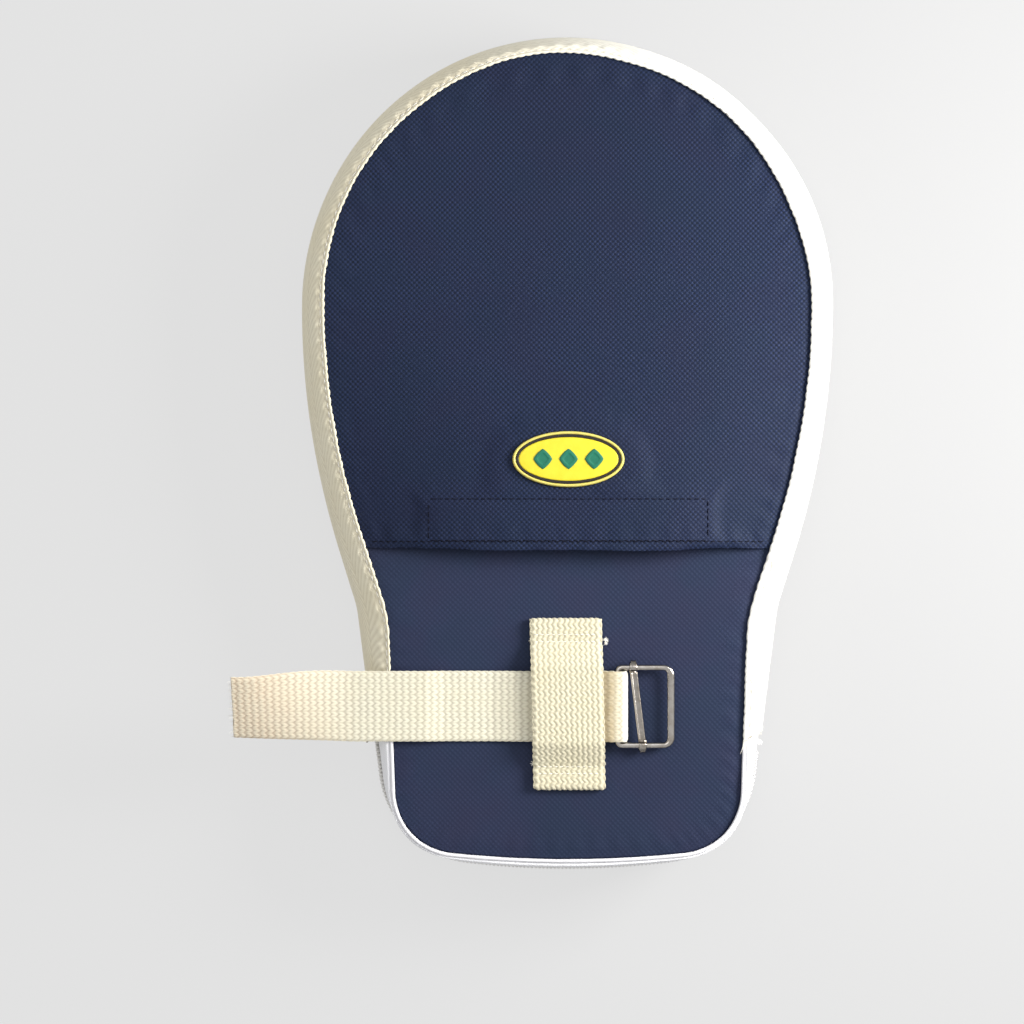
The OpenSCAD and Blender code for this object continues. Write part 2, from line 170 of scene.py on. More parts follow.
# ---------------------------------------------------------------- mesh helpers
def new_mesh(name, verts, faces, uv=None, smooth_shade=True):
    """verts in mm; faces list of index lists or an (n, 4) array; uv one pair per vertex."""
    me = bpy.data.meshes.new(name)
    v = np.asarray(verts, float) * MM
    if isinstance(faces, np.ndarray) and faces.ndim == 2:
        n, c = faces.shape
        me.vertices.add(len(v))
        me.vertices.foreach_set("co", v.astype(np.float32).ravel())
        me.loops.add(n * c)
        me.loops.foreach_set("vertex_index", faces.astype(np.int32).ravel())
        me.polygons.add(n)
        me.polygons.foreach_set("loop_start", np.arange(0, n * c, c, dtype=np.int32))
        me.update(calc_edges=True)
    else:
        me.from_pydata([tuple(p) for p in v], [], [tuple(int(i) for i in f) for f in faces])
    me.validate()
    if uv is not None:
        uv = np.asarray(uv, float)
        lay = me.uv_layers.new(name="mm")
        idx = np.zeros(len(me.loops), np.int32)
        me.loops.foreach_get("vertex_index", idx)
        lay.data.foreach_set("uv", uv[idx].astype(np.float32).ravel())
    if smooth_shade:
        me.polygons.foreach_set("use_smooth", np.ones(len(me.polygons), bool))
    ob = bpy.data.objects.new(name, me)
    scene.collection.objects.link(ob)
    return ob


def grid_faces(nu, nv, close_u=False, close_v=False, off=0, flip=False):
    iu = np.arange(nu if close_u else nu - 1)
    iv = np.arange(nv if close_v else nv - 1)
    a, b = np.meshgrid(iu, iv, indexing="ij")
    a2, b2 = (a + 1) % nu, (b + 1) % nv
    f = np.stack([a * nv + b, a2 * nv + b, a2 * nv + b2, a * nv + b2], -1).reshape(-1, 4) + off
    return f[:, ::-1].copy() if flip else f


def ring_sweep(name, pts, uv=None, close_u=False, smooth_shade=True):
    """pts (nu, nv, 3): closed section of nv points swept over nu stations, with capped ends."""
    nu, nv = pts.shape[:2]
    faces = grid_faces(nu, nv, close_u, True)
    v = pts.reshape(-1, 3)
    uvs = None if uv is None else list(uv.reshape(-1, 2))
    if not close_u:
        tri = []
        v = list(v)
        for end, flip in ((0, False), (nu - 1, True)):
            c = pts[end].mean(0)
            ci = len(v)
            v.append(c)
            if uvs is not None:
                uvs.append(uv[end].mean(0))
            for j in range(nv):
                a, b = end * nv + j, end * nv + (j + 1) % nv
                tri.append([ci, b, a, a] if flip else [ci, a, b, b])
        v = np.array(v)
        me_faces = [list(f) for f in faces] + [t[:3] for t in tri]
        return new_mesh(name, v, me_faces, None if uvs is None else np.array(uvs), smooth_shade)
    return new_mesh(name, v, faces, None if uvs is None else np.array(uvs), smooth_shade)


def fix_normals(ob):
    import bmesh

    bm = bmesh.new()
    bm.from_mesh(ob.data)
    bmesh.ops.recalc_face_normals(bm, faces=bm.faces)
    bm.to_mesh(ob.data)
    bm.free()
    return ob


def join(name, obs):
    """One object from several, by mesh data, keeping UVs and smoothing."""
    bpy.ops.object.select_all(action="DESELECT")
    for o in obs:
        o.select_set(True)
    bpy.context.view_layer.objects.active = obs[0]
    bpy.ops.object.join()
    obs[0].name = name
    obs[0].data.name = name
    return obs[0]


def frames_along(path):
    """Tangent, and a pair of normals carried without twist."""
    p = np.asarray(path, float)
    t = np.gradient(p, axis=0)
    t /= np.linalg.norm(t, axis=1)[:, None] + 1e-12
    n = np.zeros_like(p)
    ref = np.array([0, 0, 1.0])
    if abs(t[0] @ ref) > 0.9:
        ref = np.array([0, 1.0, 0])
    n[0] = ref - (ref @ t[0]) * t[0]
    n[0] /= np.linalg.norm(n[0])
    for i in range(1, len(p)):
        v = n[i - 1] - (n[i - 1] @ t[i]) * t[i]
        n[i] = v / (np.linalg.norm(v) + 1e-12)
    return t, n, np.cross(t, n)


def tube_arrays(path, radius, sides=8, closed=False):
    p = np.asarray(path, float)
    t, n, b = frames_along(p)
    if closed:
        t = np.roll(p, -1, 0) - np.roll(p, 1, 0)
        t /= np.linalg.norm(t, axis=1)[:, None]
        n = n - (n * t).sum(1)[:, None] * t
        n /= np.linalg.norm(n, axis=1)[:, None]
        b = np.cross(t, n)
    r = np.broadcast_to(np.asarray(radius, float), (len(p),))
    a = np.linspace(0, 2 * np.pi, sides, endpoint=False)
    ring = np.cos(a)[None, :, None] * n[:, None, :] + np.sin(a)[None, :, None] * b[:, None, :]
    return p[:, None, :] + r[:, None, None] * ring


def tubes(name, paths, radius, sides=6, taper=True, closed=False):
    """Many round threads as one mesh."""
    vs, fs, off = [], [], 0
    for k, p in enumerate(paths):
        r = radius[k] if hasattr(radius, "__len__") and not np.isscalar(radius[0]) else radius
        r = np.broadcast_to(np.asarray(r, float), (len(p),)).copy()
        if taper and not closed:
            r[0] *= 0.45
            r[-1] *= 0.45
        pts = tube_arrays(p, r, sides, closed)
        nu, nv = pts.shape[:2]
        vs.append(pts.reshape(-1, 3))
        fs += [list(f) for f in grid_faces(nu, nv, closed, True, off)]
        if not closed:
            fs.append([off + j for j in range(nv)][::-1])
            fs.append([off + (nu - 1) * nv + j for j in range(nv)])
        off += nu * nv
    return new_mesh(name, np.concatenate(vs), fs)


def resample(path, step):
    p = np.asarray(path, float)
    ln = np.concatenate([[0], np.cumsum(np.linalg.norm(np.diff(p, axis=0), axis=1))])
    k = max(2, int(round(ln[-1] / step)) + 1)
    s = np.linspace(0, ln[-1], k)
    return np.stack([np.interp(s, ln, p[:, i]) for i in range(p.shape[1])], 1), s


def round_path(path, step=0.3, passes=14):
    """Even steps along a polyline with its corners eased."""
    p, s = resample(path, step)
    for _ in range(passes):
        q = p.copy()
        q[1:-1] = 0.25 * p[:-2] + 0.5 * p[1:-1] + 0.25 * p[2:]
        p = q
    return resample(p, step)


def noise1(x, scale, seed):
    """Smooth repeatable noise in -1..1."""
    r = np.random.default_rng(seed)
    g = r.uniform(-1, 1, 4096)
    y = np.asarray(x, float) / scale + 1000.0
    i = np.floor(y).astype(int)
    w = smooth(y - i)
    return g[i % 4096] * (1 - w) + g[(i + 1) % 4096] * w


def noise2(x, y, scale, seed):
    r = np.random.default_rng(seed)
    g = r.uniform(-1, 1, (256, 256))
    X, Y = np.asarray(x, float) / scale + 100, np.asarray(y, float) / scale + 100
    i, j = np.floor(X).astype(int), np.floor(Y).astype(int)
    a, b = smooth(X - i), smooth(Y - j)
    i, j, i2, j2 = i % 256, j % 256, (i + 1) % 256, (j + 1) % 256
    return (g[i, j] * (1 - a) + g[i2, j] * a) * (1 - b) + (g[i, j2] * (1 - a) + g[i2, j2] * a) * b


# ---------------------------------------------------------------- materials
class Mat:
    """Small helper that builds node trees from expressions."""

    def __init__(self, name):
        self.m = bpy.data.materials.new(name)
        self.m.use_nodes = True
        self.nt = self.m.node_tree
        self.bsdf = self.nt.nodes["Principled BSDF"]

    def node(self, kind, **props):
        n = self.nt.nodes.new(kind)
        for k, v in props.items():
            setattr(n, k, v)
        return n

    def put(self, sock, val):
        if hasattr(val, "is_output"):
            self.nt.links.new(val, sock)
        else:
            sock.default_value = val

    def math(self, op, a, b=None, c=None, clamp=False):
        n = self.node("ShaderNodeMath", operation=op, use_clamp=clamp)
        for i, v in enumerate((a, b, c)):
            if v is not None:
                self.put(n.inputs[i], v)
        return n.outputs[0]

    def uv(self):
        n = self.node("ShaderNodeUVMap", uv_map="mm")
        s = self.node("ShaderNodeSeparateXYZ")
        self.nt.links.new(n.outputs[0], s.inputs[0])
        return s.outputs[0], s.outputs[1]

    def pos(self):
        """Object coordinates in mm."""
        n = self.node("ShaderNodeTexCoord")
        v = self.node("ShaderNodeVectorMath", operation="SCALE")
        self.nt.links.new(n.outputs["Object"], v.inputs[0])
        v.inputs["Scale"].default_value = 1000
        s = self.node("ShaderNodeSeparateXYZ")
        self.nt.links.new(v.outputs[0], s.inputs[0])
        return v.outputs[0], s.outputs[0], s.outputs[1], s.outputs[2]

    def vec(self, x, y, z=0.0):
        n = self.node("ShaderNodeCombineXYZ")
        for i, v in enumerate((x, y, z)):
            self.put(n.inputs[i], v)
        return n.outputs[0]

    def noise(self, vec, scale, detail=3, rough=0.55):
        n = self.node("ShaderNodeTexNoise")
        self.nt.links.new(vec, n.inputs["Vector"])
        n.inputs["Scale"].default_value = scale
        n.inputs["Detail"].default_value = detail
        n.inputs["Roughness"].default_value = rough
        return n.outputs["Fac"]

    def sin(self, x, period, phase=0.0):
        return self.math("SINE", self.math("MULTIPLY_ADD", x, 2 * math.pi / period, phase))

    def ramp(self, fac, stops):
        n = self.node("ShaderNodeValToRGB")
        el = n.color_ramp.elements
        while len(el) < len(stops):
            el.new(0.5)
        for e, (p, c) in zip(el, stops):
            e.position = p
            e.color = (*c, 1)
        self.nt.links.new(fac, n.inputs[0])
        return n.outputs[0]

    def mix(self, fac, a, b, kind="MIX"):
        n = self.node("ShaderNodeMix", data_type="RGBA", blend_type=kind)
        self.put(n.inputs[0], fac)
        self.put(n.inputs[6], a if hasattr(a, "is_output") else (*a, 1))
        self.put(n.inputs[7], b if hasattr(b, "is_output") else (*b, 1))
        return n.outputs[2]

    def bump(self, height, dist, strength=1.0, prev=None):
        n = self.node("ShaderNodeBump")
        n.inputs["Strength"].default_value = strength
        n.inputs["Distance"].default_value = dist
        self.nt.links.new(height, n.inputs["Height"])
        if prev is not None:
            self.nt.links.new(prev, n.inputs["Normal"])
        return n.outputs[0]

    def done(self, color, rough, normal=None, **sockets):
        b = self.bsdf
        self.put(b.inputs["Base Color"], color if hasattr(color, "is_output") else (*color, 1))
        self.put(b.inputs["Roughness"], rough)
        if normal is not None:
            self.nt.links.new(normal, b.inputs["Normal"])
        for k, v in sockets.items():
            b.inputs[k.replace("_", " ")].default_value = v
        return self.m


def lin(r, g, b):
    return tuple((c / 255 / 12.92) if c / 255 <= 0.04045 else ((c / 255 + 0.055) / 1.055) ** 2.4 for c in (r, g, b))


def navy_cloth(name, gain=1.0, cell=1.8, contrast=1.0, tone=(0.0062, 0.0118, 0.0390)):
    """Plain weave: every yarn floats over its neighbour, so the floats read as a diagonal lattice."""
    m = Mat(name)
    vec, x, y, z = m.pos()
    # slow waviness of the yarns
    wob = m.math("MULTIPLY_ADD", m.noise(vec, 0.05, 2), 1.6, -0.8)
    xx = m.math("ADD", x, m.math("MULTIPLY", wob, 0.35))
    yy = m.math("ADD", y, m.math("MULTIPLY", wob, 0.3))
    a = m.sin(xx, cell)
    b = m.sin(yy, cell * 1.02)
    chk = m.math("MULTIPLY", a, b)                       # +1 warp over, -1 weft over
    top = m.math("ABSOLUTE", chk)
    # the floats stand out more in some places than in others
    vary = m.math("MULTIPLY_ADD", m.noise(vec, 0.22, 3, 0.7), 1.9, -0.25, clamp=True)
    amp = m.math("MULTIPLY", m.math("MULTIPLY", chk, vary), 0.95 * contrast)
    hi = m.math("ADD", m.math("MULTIPLY", amp, 0.62), 0.42, clamp=True)
    fx = m.sin(xx, 0.23)
    fy = m.sin(yy, 0.23)
    up = m.math("GREATER_THAN", chk, 0.0)
    fib = m.math("ADD", m.math("MULTIPLY", fx, up), m.math("MULTIPLY", fy, m.math("SUBTRACT", 1.0, up)))
    relief = m.math("ADD", m.math("MULTIPLY_ADD", chk, 0.55, m.math("MULTIPLY", top, 0.25)), m.math("MULTIPLY", fib, 0.08))
    cl = m.noise(vec, 0.018, 3)
    hue = m.noise(vec, 0.045, 2)
    fine = m.noise(vec, 1.4, 2)
    t = [gain * q for q in tone]
    c = m.mix(hi, [q * 0.02 for q in t], [q * 2.6 + 0.004 for q in t])
    c = m.mix(m.math("MULTIPLY_ADD", fine, 0.45, -0.15, clamp=True), c, [q * 1.25 for q in t])
    c = m.mix(m.math("MULTIPLY_ADD", cl, 1.2, -0.45, clamp=True), c, [q * 0.7 for q in t])
    # faded and redder dye in some places, greener in others
    c = m.mix(m.math("MULTIPLY_ADD", hue, 1.5, -0.65, clamp=True), c, (t[0] * 1.5, t[1] * 0.95, t[2] * 0.95))
    c = m.mix(m.math("MULTIPLY_ADD", hue, -1.5, 0.8, clamp=True), c, (t[0] * 0.85, t[1] * 1.15, t[2] * 0.95))
    rough = m.math("MULTIPLY_ADD", hi, -0.12, 0.64)
    nrm = m.bump(relief, 0.00012, 0.45 + 0.4 * contrast)
    return m.done(c, rough, nrm, Sheen_Weight=0.03, Sheen_Roughness=0.4, Specular_IOR_Level=0.28,
                  Specular_Tint=(0.75, 0.85, 1.0, 1))


def cream_tape(name, base=(226, 214, 184), pitch=2.9, band=9.4, slant=1.9, off=2.4):
    m = Mat(name)
    u, v = m.uv()
    vec = m.vec(u, v)
    ping = m.math("PINGPONG", m.math("SUBTRACT", v, off), band)
    wob = m.math("MULTIPLY", m.noise(vec, 0.25, 2), 0.7)
    ph = m.math("ADD", m.math("ADD", u, m.math("MULTIPLY", ping, slant)), wob)
    strand = m.math("ABSOLUTE", m.sin(ph, pitch * 2))
    strand = m.math("POWER", strand, 0.75)
    fib = m.noise(m.vec(m.math("MULTIPLY", ph, 5.0), m.math("MULTIPLY", v, 1.2)), 1.0, 3)
    rel = m.math("ADD", strand, m.math("MULTIPLY", fib, 0.35))
    blot = m.noise(vec, 0.06, 3)
    c = m.mix(strand, lin(base[0] - 58, base[1] - 62, base[2] - 66), lin(*base))
    c = m.mix(m.math("MULTIPLY", fib, 0.35), c, lin(248, 242, 224))
    c = m.mix(m.math("MULTIPLY_ADD", blot, 0.8, -0.3, clamp=True), c, lin(base[0] - 18, base[1] - 24, base[2] - 34))
    return m.done(c, 0.9, m.bump(rel, 0.00022, 0.9), Sheen_Weight=0.15, Sheen_Roughness=0.5, Specular_IOR_Level=0.2)


def cream_web(name, base=(233, 224, 196), painted_strap_light=False, valley_shade=1.0, pale=None):
    """The relief is in the mesh; this adds yarn fibres, painted shade in the valleys and slow colour drift."""
    m = Mat(name)
    u, v = m.uv()
    vec = m.vec(u, v)
    at = m.node("ShaderNodeAttribute", attribute_name="relief")
    h = at.outputs["Fac"]
    fib = m.noise(m.vec(m.math("MULTIPLY", u, 1.6), m.math("MULTIPLY", v, 7.0)), 1.0, 3)
    blot = m.noise(vec, 0.05, 3)
    # painted shade: the lower the relief, the darker the colour
    c = m.mix(m.math("POWER", h, 0.9), lin(base[0] - 84 * valley_shade, base[1] - 92 * valley_shade, base[2] - 96 * valley_shade), lin(*base))
    c = m.mix(m.math("MULTIPLY", fib, 0.4), c, lin(250, 244, 224))
    c = m.mix(m.math("MULTIPLY_ADD", blot, 0.9, -0.35, clamp=True), c, lin(base[0] - 10, base[1] - 16, base[2] - 28))
    if painted_strap_light:
        # painted shade: the free end, twisted away from the light, is coloured warmer and darker
        # (u runs along the strap from its cut end)
        g = m.math("MULTIPLY_ADD", u, -1 / 34.0, 46 / 34.0, clamp=True)
        g = m.math("MULTIPLY", g, m.math("MULTIPLY_ADD", m.noise(vec, 0.12, 3), 0.8, 0.45))
        warm = m.mix(m.math("POWER", h, 0.8), lin(200, 168, 140), lin(252, 237, 210))
        c = m.mix(m.math("MULTIPLY", g, 0.8), c, warm)
        # painted shade on the strap where it runs between the keeper and the buckle
        keeper_buckle_shade = m.math("MULTIPLY", m.math("MULTIPLY_ADD", u, 1 / 3.0, -126.7 / 3.0, clamp=True), m.math("MULTIPLY_ADD", u, -1 / 3.5, 137.2 / 3.5, clamp=True))
        keeper_buckle_shade = m.math("MULTIPLY", keeper_buckle_shade, m.math("MULTIPLY_ADD", m.noise(vec, 0.3, 3), 0.7, 0.5, clamp=True))
        c = m.mix(keeper_buckle_shade, c, lin(196, 178, 142))
        # painted highlight: near white where the strap folds round the buckle bar
        fold_highlight = m.math("MULTIPLY", m.math("MULTIPLY_ADD", u, 1 / 2.0, -137.3 / 2.0, clamp=True), m.math("MULTIPLY_ADD", u, -1 / 2.0, 147.0 / 2.0, clamp=True))
        c = m.mix(m.math("MULTIPLY", fold_highlight, 0.75), c, lin(252, 250, 240))
    if pale is not None:
        # painted light: the far part of the tape, which faces the light, is coloured whiter
        pf = m.math("MULTIPLY_ADD", u, 1 / 80.0, -pale / 80.0, clamp=True)
        c = m.mix(m.math("MULTIPLY", pf, 0.8), c, m.mix(h, lin(214, 213, 204), lin(250, 250, 246)))
    return m.done(c, 0.92, m.bump(fib, 0.00012, 0.8), Sheen_Weight=0.15, Sheen_Roughness=0.5, Specular_IOR_Level=0.2)


def thread_mat(name, base, rough=0.75, fuzz=0.2):
    m = Mat(name)
    vec, x, y, z = m.pos()
    n = m.noise(vec, 2.6, 3)
    c = m.mix(n, lin(*[max(0, b - 26) for b in base]), lin(*base))
    return m.done(c, rough, m.bump(n, 0.00008, 0.8), Sheen_Weight=fuzz, Sheen_Roughness=0.4,
                  Specular_IOR_Level=0.2)


def zip_cloth(name):
    m = Mat(name)
    u, v = m.uv()
    vec = m.vec(u, v)
    a = m.sin(u, 0.9)
    b = m.sin(m.math("ADD", v, m.math("MULTIPLY", m.math("FLOOR", m.math("DIVIDE", u, 0.45)), 0.35)), 0.7)
    rel = m.math("MULTIPLY_ADD", m.math("ADD", a, b), 0.25, 0.5)
    blot = m.noise(vec, 0.08, 3)
    c = m.mix(rel, lin(236, 236, 240), lin(253, 253, 255))
    c = m.mix(m.math("MULTIPLY_ADD", blot, 0.8, -0.3, clamp=True), c, lin(240, 240, 243))
    return m.done(c, 0.82, m.bump(rel, 0.00012, 0.8), Sheen_Weight=0.1, Sheen_Roughness=0.4)


def coil_mat(name):
    m = Mat(name)
    vec, x, y, z = m.pos()
    n = m.noise(vec, 0.8, 2)
    c = m.mix(n, lin(226, 224, 220), lin(246, 245, 242))
    return m.done(c, m.math("MULTIPLY_ADD", n, 0.15, 0.28), None, Specular_IOR_Level=0.5)


def nickel(name, base=(200, 195, 189), r0=0.11):
    m = Mat(name)
    vec, x, y, z = m.pos()
    n = m.noise(vec, 0.9, 4)
    s = m.noise(m.vec(m.math("MULTIPLY", x, 6.0), y, z), 1.2, 3)
    w = m.math("MULTIPLY_ADD", m.noise(vec, 0.35, 3), 1.4, -0.55, clamp=True)
    c = m.mix(w, lin(*base), lin(base[0] - 50, base[1] - 60, base[2] - 74))
    rough = m.math("MULTIPLY_ADD", n, 0.12, r0)
    return m.done(c, rough, m.bump(s, 0.00004, 0.5), Metallic=1.0)


def pvc(name, col, dark, rough=0.34):
    m = Mat(name)
    vec, x, y, z = m.pos()
    n = m.noise(vec, 0.35, 3)
    f = m.noise(vec, 3.0, 2)
    c = m.mix(n, lin(*dark), lin(*col))
    return m.done(c, m.math("MULTIPLY_ADD", n, 0.18, rough), m.bump(f, 0.00003, 0.6), Specular_IOR_Level=0.5,
                  Subsurface_Weight=0.05, Subsurface_Scale=0.001)


def foam_mat(name, col, dark):
    m = Mat(name)
    vec, x, y, z = m.pos()
    vo = m.node("ShaderNodeTexVoronoi")
    m.nt.links.new(vec, vo.inputs["Vector"])
    vo.inputs["Scale"].default_value = 1.3
    n = m.noise(vec, 0.12, 3)
    c = m.mix(n, lin(*dark), lin(*col))
    c = m.mix(m.math("MULTIPLY", vo.outputs["Distance"], 0.5), c, lin(*dark))
    return m.done(c, 0.95, m.bump(vo.outputs["Distance"], 0.0003, 0.7))


M_NAVY = navy_cloth("navy_cloth", 1.65, 1.8, 0.24, (0.0098, 0.0140, 0.0345))
M_NAVY2 = navy_cloth("navy_pocket_cloth")
M_LINING = navy_cloth("lining_cloth", 0.6, 1.1, 0.6)
M_STRIKE = navy_cloth("strike_cloth", 0.9)
M_TAPE = cream_tape("cream_herringbone")
M_WEB = cream_web("cream_webbing")
M_ZIP = zip_cloth("zip_tape_white")
M_COIL = coil_mat("coil_nylon")
M_METAL = nickel("nickel_wire")
M_METAL2 = nickel("nickel_strip", (184, 178, 171), 0.16)
M_THREAD = thread_mat("thread_cream", (250, 247, 238))
M_DTHREAD = thread_mat("thread_navy", (14, 19, 40), 0.7, 0.02)
M_BLACK = thread_mat("strip_pile", (30, 32, 40), 0.9)


def finish_piece(ob, mat, body, slot, *replaced):
    ob.data.materials.clear()
    ob.data.materials.append(mat)
    if body:
        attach(ob, body)
    if replaced:
        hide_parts(*replaced)
    return ob


def relief_attr(ob, vals):
    n = len(ob.data.vertices)
    v = np.full(n, 0.6, np.float32)
    v[: min(n, len(vals))] = np.asarray(vals, np.float32)[:n]
    ob.data.attributes.new("relief", "FLOAT", "POINT").data.foreach_set("value", v)
    return ob


def poly_resample(pts, step):
    return resample(np.asarray(pts, float), step)


# ---------------------------------------------------------------- surfaces of the body
def seg_half_width(y, side=1):
    """Half width of the navy edge at height y, from a dense table."""
    return np.interp(y, _HW[0], _HW[1])


_tt = np.linspace(0, 62, 3000)
_np = np.array([NC.at(t) for t in _tt])
_o = np.argsort(_np[:, 1])
_HW = (_np[_o, 1], _np[_o, 0])


def pocket_rise(x, y):
    """Height of the pocket cloth above its seam: a soft crown over the hand."""
    x, y = np.asarray(x, float), np.asarray(y, float)
    w = np.maximum(seg_half_width(y), 4.0)
    s = np.clip(np.abs(x) / w, 0, 1)
    crown = (1 - s ** 3.2) ** 1.25
    along = smooth((RISE_Y + 14 - y) / (RISE_Y + 14 - MOUTH)) * 0.25 + np.clip((RISE_Y - y) / (RISE_Y - MOUTH), 0, 1.02) * 0.75
    return RISE * crown * along


def pocket_top(x, y):
    return 39.0 + pocket_rise(x, y)


def outline_pts(line, d):
    return line.N + d * line.U


def radial_sheet(name, zfun, d_edge, thick, rings=44, step=2.2, edge_round=True):
    """Cloth over the whole panel: rings from a centre line out to the edge, closed with an underside."""
    ln = Line(0, FULL, step)
    # the seam allowance is narrow beside the piping and wide under the tape
    de = d_edge - max(d_edge - 0.7, 0) * smooth((-136 - ln.N[:, 1]) / 3.0)
    E = outline_pts(ln, de[:, None])[:-1]
    k = len(E)
    cy = np.clip(E[:, 1], -132, 0)
    C = np.stack([np.zeros(k), cy], 1)
    f = np.linspace(0.0, 1, rings) ** 0.8
    P = C[:, None, :] + f[None, :, None] * (E - C)[:, None, :]
    ee = (1 - f)[None, :] * np.linalg.norm(E - C, axis=1)[:, None]
    uu = np.broadcast_to(ln.u[:-1, None], ee.shape)
    z = zfun(P[..., 0], P[..., 1], ee, uu)
    top = np.concatenate([P, z[..., None]], 2)
    bot = top.copy()
    bot[..., 2] -= thick
    ring = np.concatenate([top, bot[:, ::-1]], 1)          # k stations, 2*rings points
    m = 2 * rings
    faces = grid_faces(k, m, True, False)
    ob = new_mesh(name, ring.reshape(-1, 3), faces)
    weld(ob, 0.02)
    return ob


def weld(ob, dist_mm=0.02):
    import bmesh

    bm = bmesh.new()
    bm.from_mesh(ob.data)
    bmesh.ops.remove_doubles(bm, verts=bm.verts, dist=dist_mm * MM)
    bmesh.ops.dissolve_degenerate(bm, edges=bm.edges, dist=1e-7)
    bmesh.ops.recalc_face_normals(bm, faces=bm.faces)
    bm.to_mesh(ob.data)
    bm.free()
    ob.data.polygons.foreach_set("use_smooth", np.ones(len(ob.data.polygons), bool))
    return ob


# ---------------------------------------------------------------- back panel
def panel_z(x, y, e, u):
    puck = 0.16 * np.exp(-((e - 5.0) / 3.2) ** 2) * np.sin(2 * np.pi * u / 7.3 + 2.5 * noise1(u, 19, 3))
    slow = 0.10 * noise2(x, y, 26, 5)
    dip = -0.35 * np.exp(-np.maximum(e - 2.2, 0) / 1.6)
    z = BACK - 0.05 + dip + np.where(e > 2.4, puck, 0) + np.minimum(slow, 0.04)
    return np.minimum(z, BACK + 0.03)


panel = radial_sheet("back_panel_cloth", panel_z, FL - 0.3, 0.7, 46, 2.0)
finish_piece(panel, M_NAVY, "pad", "navy_cover", "back_panel")

# ---------------------------------------------------------------- hand pocket
HEM_Y = MOUTH + 2.9                     # stitch line beside the folded edge
STRIP_Y, STRIP_L, STRIP_W = -77.6, 98.6, 15.1
BADGE_Y, BADGE_L, BADGE_H = -56.4, 39.3, 19.7


def pocket_grid(ny, nx, d_edge):
    """Points of the pocket in the plan: rows from the mouth to the finger end."""
    ytop = 86.0 + d_edge
    v = np.linspace(0, 1, ny)
    # rows bunch up at the mouth and at the round end
    y = MOUTH + (ytop - MOUTH) * (0.55 * v + 0.45 * np.sin(v * np.pi / 2)) / 1.0
    y[-1] = ytop - 0.04
    w = seg_half_width(np.minimum(y, 85.9))
    w = np.where(y > 0, np.sqrt(np.maximum((86 + d_edge) ** 2 - y ** 2, 0.5)), w + d_edge)
    s = np.linspace(-1, 1, nx)
    s = np.sin(s * np.pi / 2) * 0.5 + s * 0.5
    X = s[None, :] * w[:, None]
    Y = np.broadcast_to(y[:, None], X.shape).copy()
    return X, Y, w


PX, PY, PW = pocket_grid(110, 96, FL - 0.3)


def pocket_cloth_z(x, y):
    edge = np.maximum(seg_half_width(np.clip(y, -171, 85.9)) - np.abs(x), 0)
    edge = np.where(y > 0, np.maximum(86 - np.hypot(x, y), 0), edge)
    return edge


def simulate_pocket(X, Y, Z):
    """The pocket cloth, a little fuller than its seam, settles between its stitches."""
    ny, nx = X.shape
    ob = new_mesh("pocket_sim", np.stack([X, Y, Z], -1).reshape(-1, 3), grid_faces(ny, nx))
    vg = ob.vertex_groups.new(name="pin")
    edge = pocket_cloth_z(X, Y)
    pin = np.exp(-np.maximum(edge - 1.0, 0) / 2.5)
    hem = np.exp(-np.abs(Y - HEM_Y) / 1.4) * 0.5
    inx = np.maximum(np.abs(X) - STRIP_L / 2, 0)
    iny = np.maximum(np.abs(Y - STRIP_Y) - STRIP_W / 2, 0)
    box = np.exp(-np.hypot(inx, iny) / 1.2) * 0.85
    bad = np.exp(-np.maximum(np.hypot(X / (BADGE_L / 2), (Y - BADGE_Y) / (BADGE_H / 2)) - 1.05, 0) * 4)
    w = np.clip(np.maximum.reduce([pin, hem, box, bad]), 0, 1)
    w[w < 0.03] = 0
    for i, v in enumerate(w.ravel()):
        if v > 0:
            vg.add([i], float(v), "REPLACE")
    mod = ob.modifiers.new("Cloth", "CLOTH")
    st = mod.settings
    st.quality = 6
    st.mass = 0.12
    st.tension_stiffness = 18
    st.compression_stiffness = 18
    st.shear_stiffness = 6
    st.bending_stiffness = 0.35
    st.air_damping = 2.0
    st.vertex_group_mass = "pin"
    st.pin_stiffness = 2.0
    st.shrink_min = -0.006
    st.effector_weights.gravity = 0.15
    mod.collision_settings.use_collision = False
    mod.collision_settings.use_self_collision = False
    mod.point_cache.frame_start = 1
    mod.point_cache.frame_end = 20
    for fr in range(1, 21):
        scene.frame_set(fr)
    dg = bpy.context.evaluated_depsgraph_get()
    ev = ob.evaluated_get(dg)
    co = np.zeros(len(ob.data.vertices) * 3, np.float32)
    ev.data.vertices.foreach_get("co", co)
    co = co.reshape(ny, nx, 3) / MM
    scene.frame_set(1)
    bpy.data.objects.remove(ob, do_unlink=True)
    base = np.stack([X, Y, Z], -1)
    d = co - base
    d = np.nan_to_num(d)
    free = 1 - w
    d *= np.clip(free * 1.3, 0, 1)[..., None]
    ln = np.linalg.norm(d, axis=2, keepdims=True)
    d *= np.minimum(1, 0.9 / np.maximum(ln, 1e-6))
    # it cannot sink through the panel behind it
    d[..., 2] = np.maximum(d[..., 2], -0.22 * np.maximum(pocket_rise(X, Y), 0))
    return base + d


PZ = pocket_top(PX, PY)
edge_e = pocket_cloth_z(PX, PY)
# the seam pulls the cloth down in small puckers
_ang = np.arctan2(PY + 40, PX)
PZ = PZ - 0.25 * np.exp(-np.maximum(edge_e - 0.5, 0) / 1.6)
PZ += 0.18 * np.exp(-((edge_e - 5.5) / 3.5) ** 2) * np.sin(_ang * 62 + 3 * noise1(_ang * 40, 5, 9))
P3 = simulate_pocket(PX, PY, PZ)
# stitched rectangle and the hem: the thread draws the cloth in
X3, Y3 = P3[..., 0], P3[..., 1]


def groove(dist, depth, width):
    return -depth * np.exp(-(dist / width) ** 2)


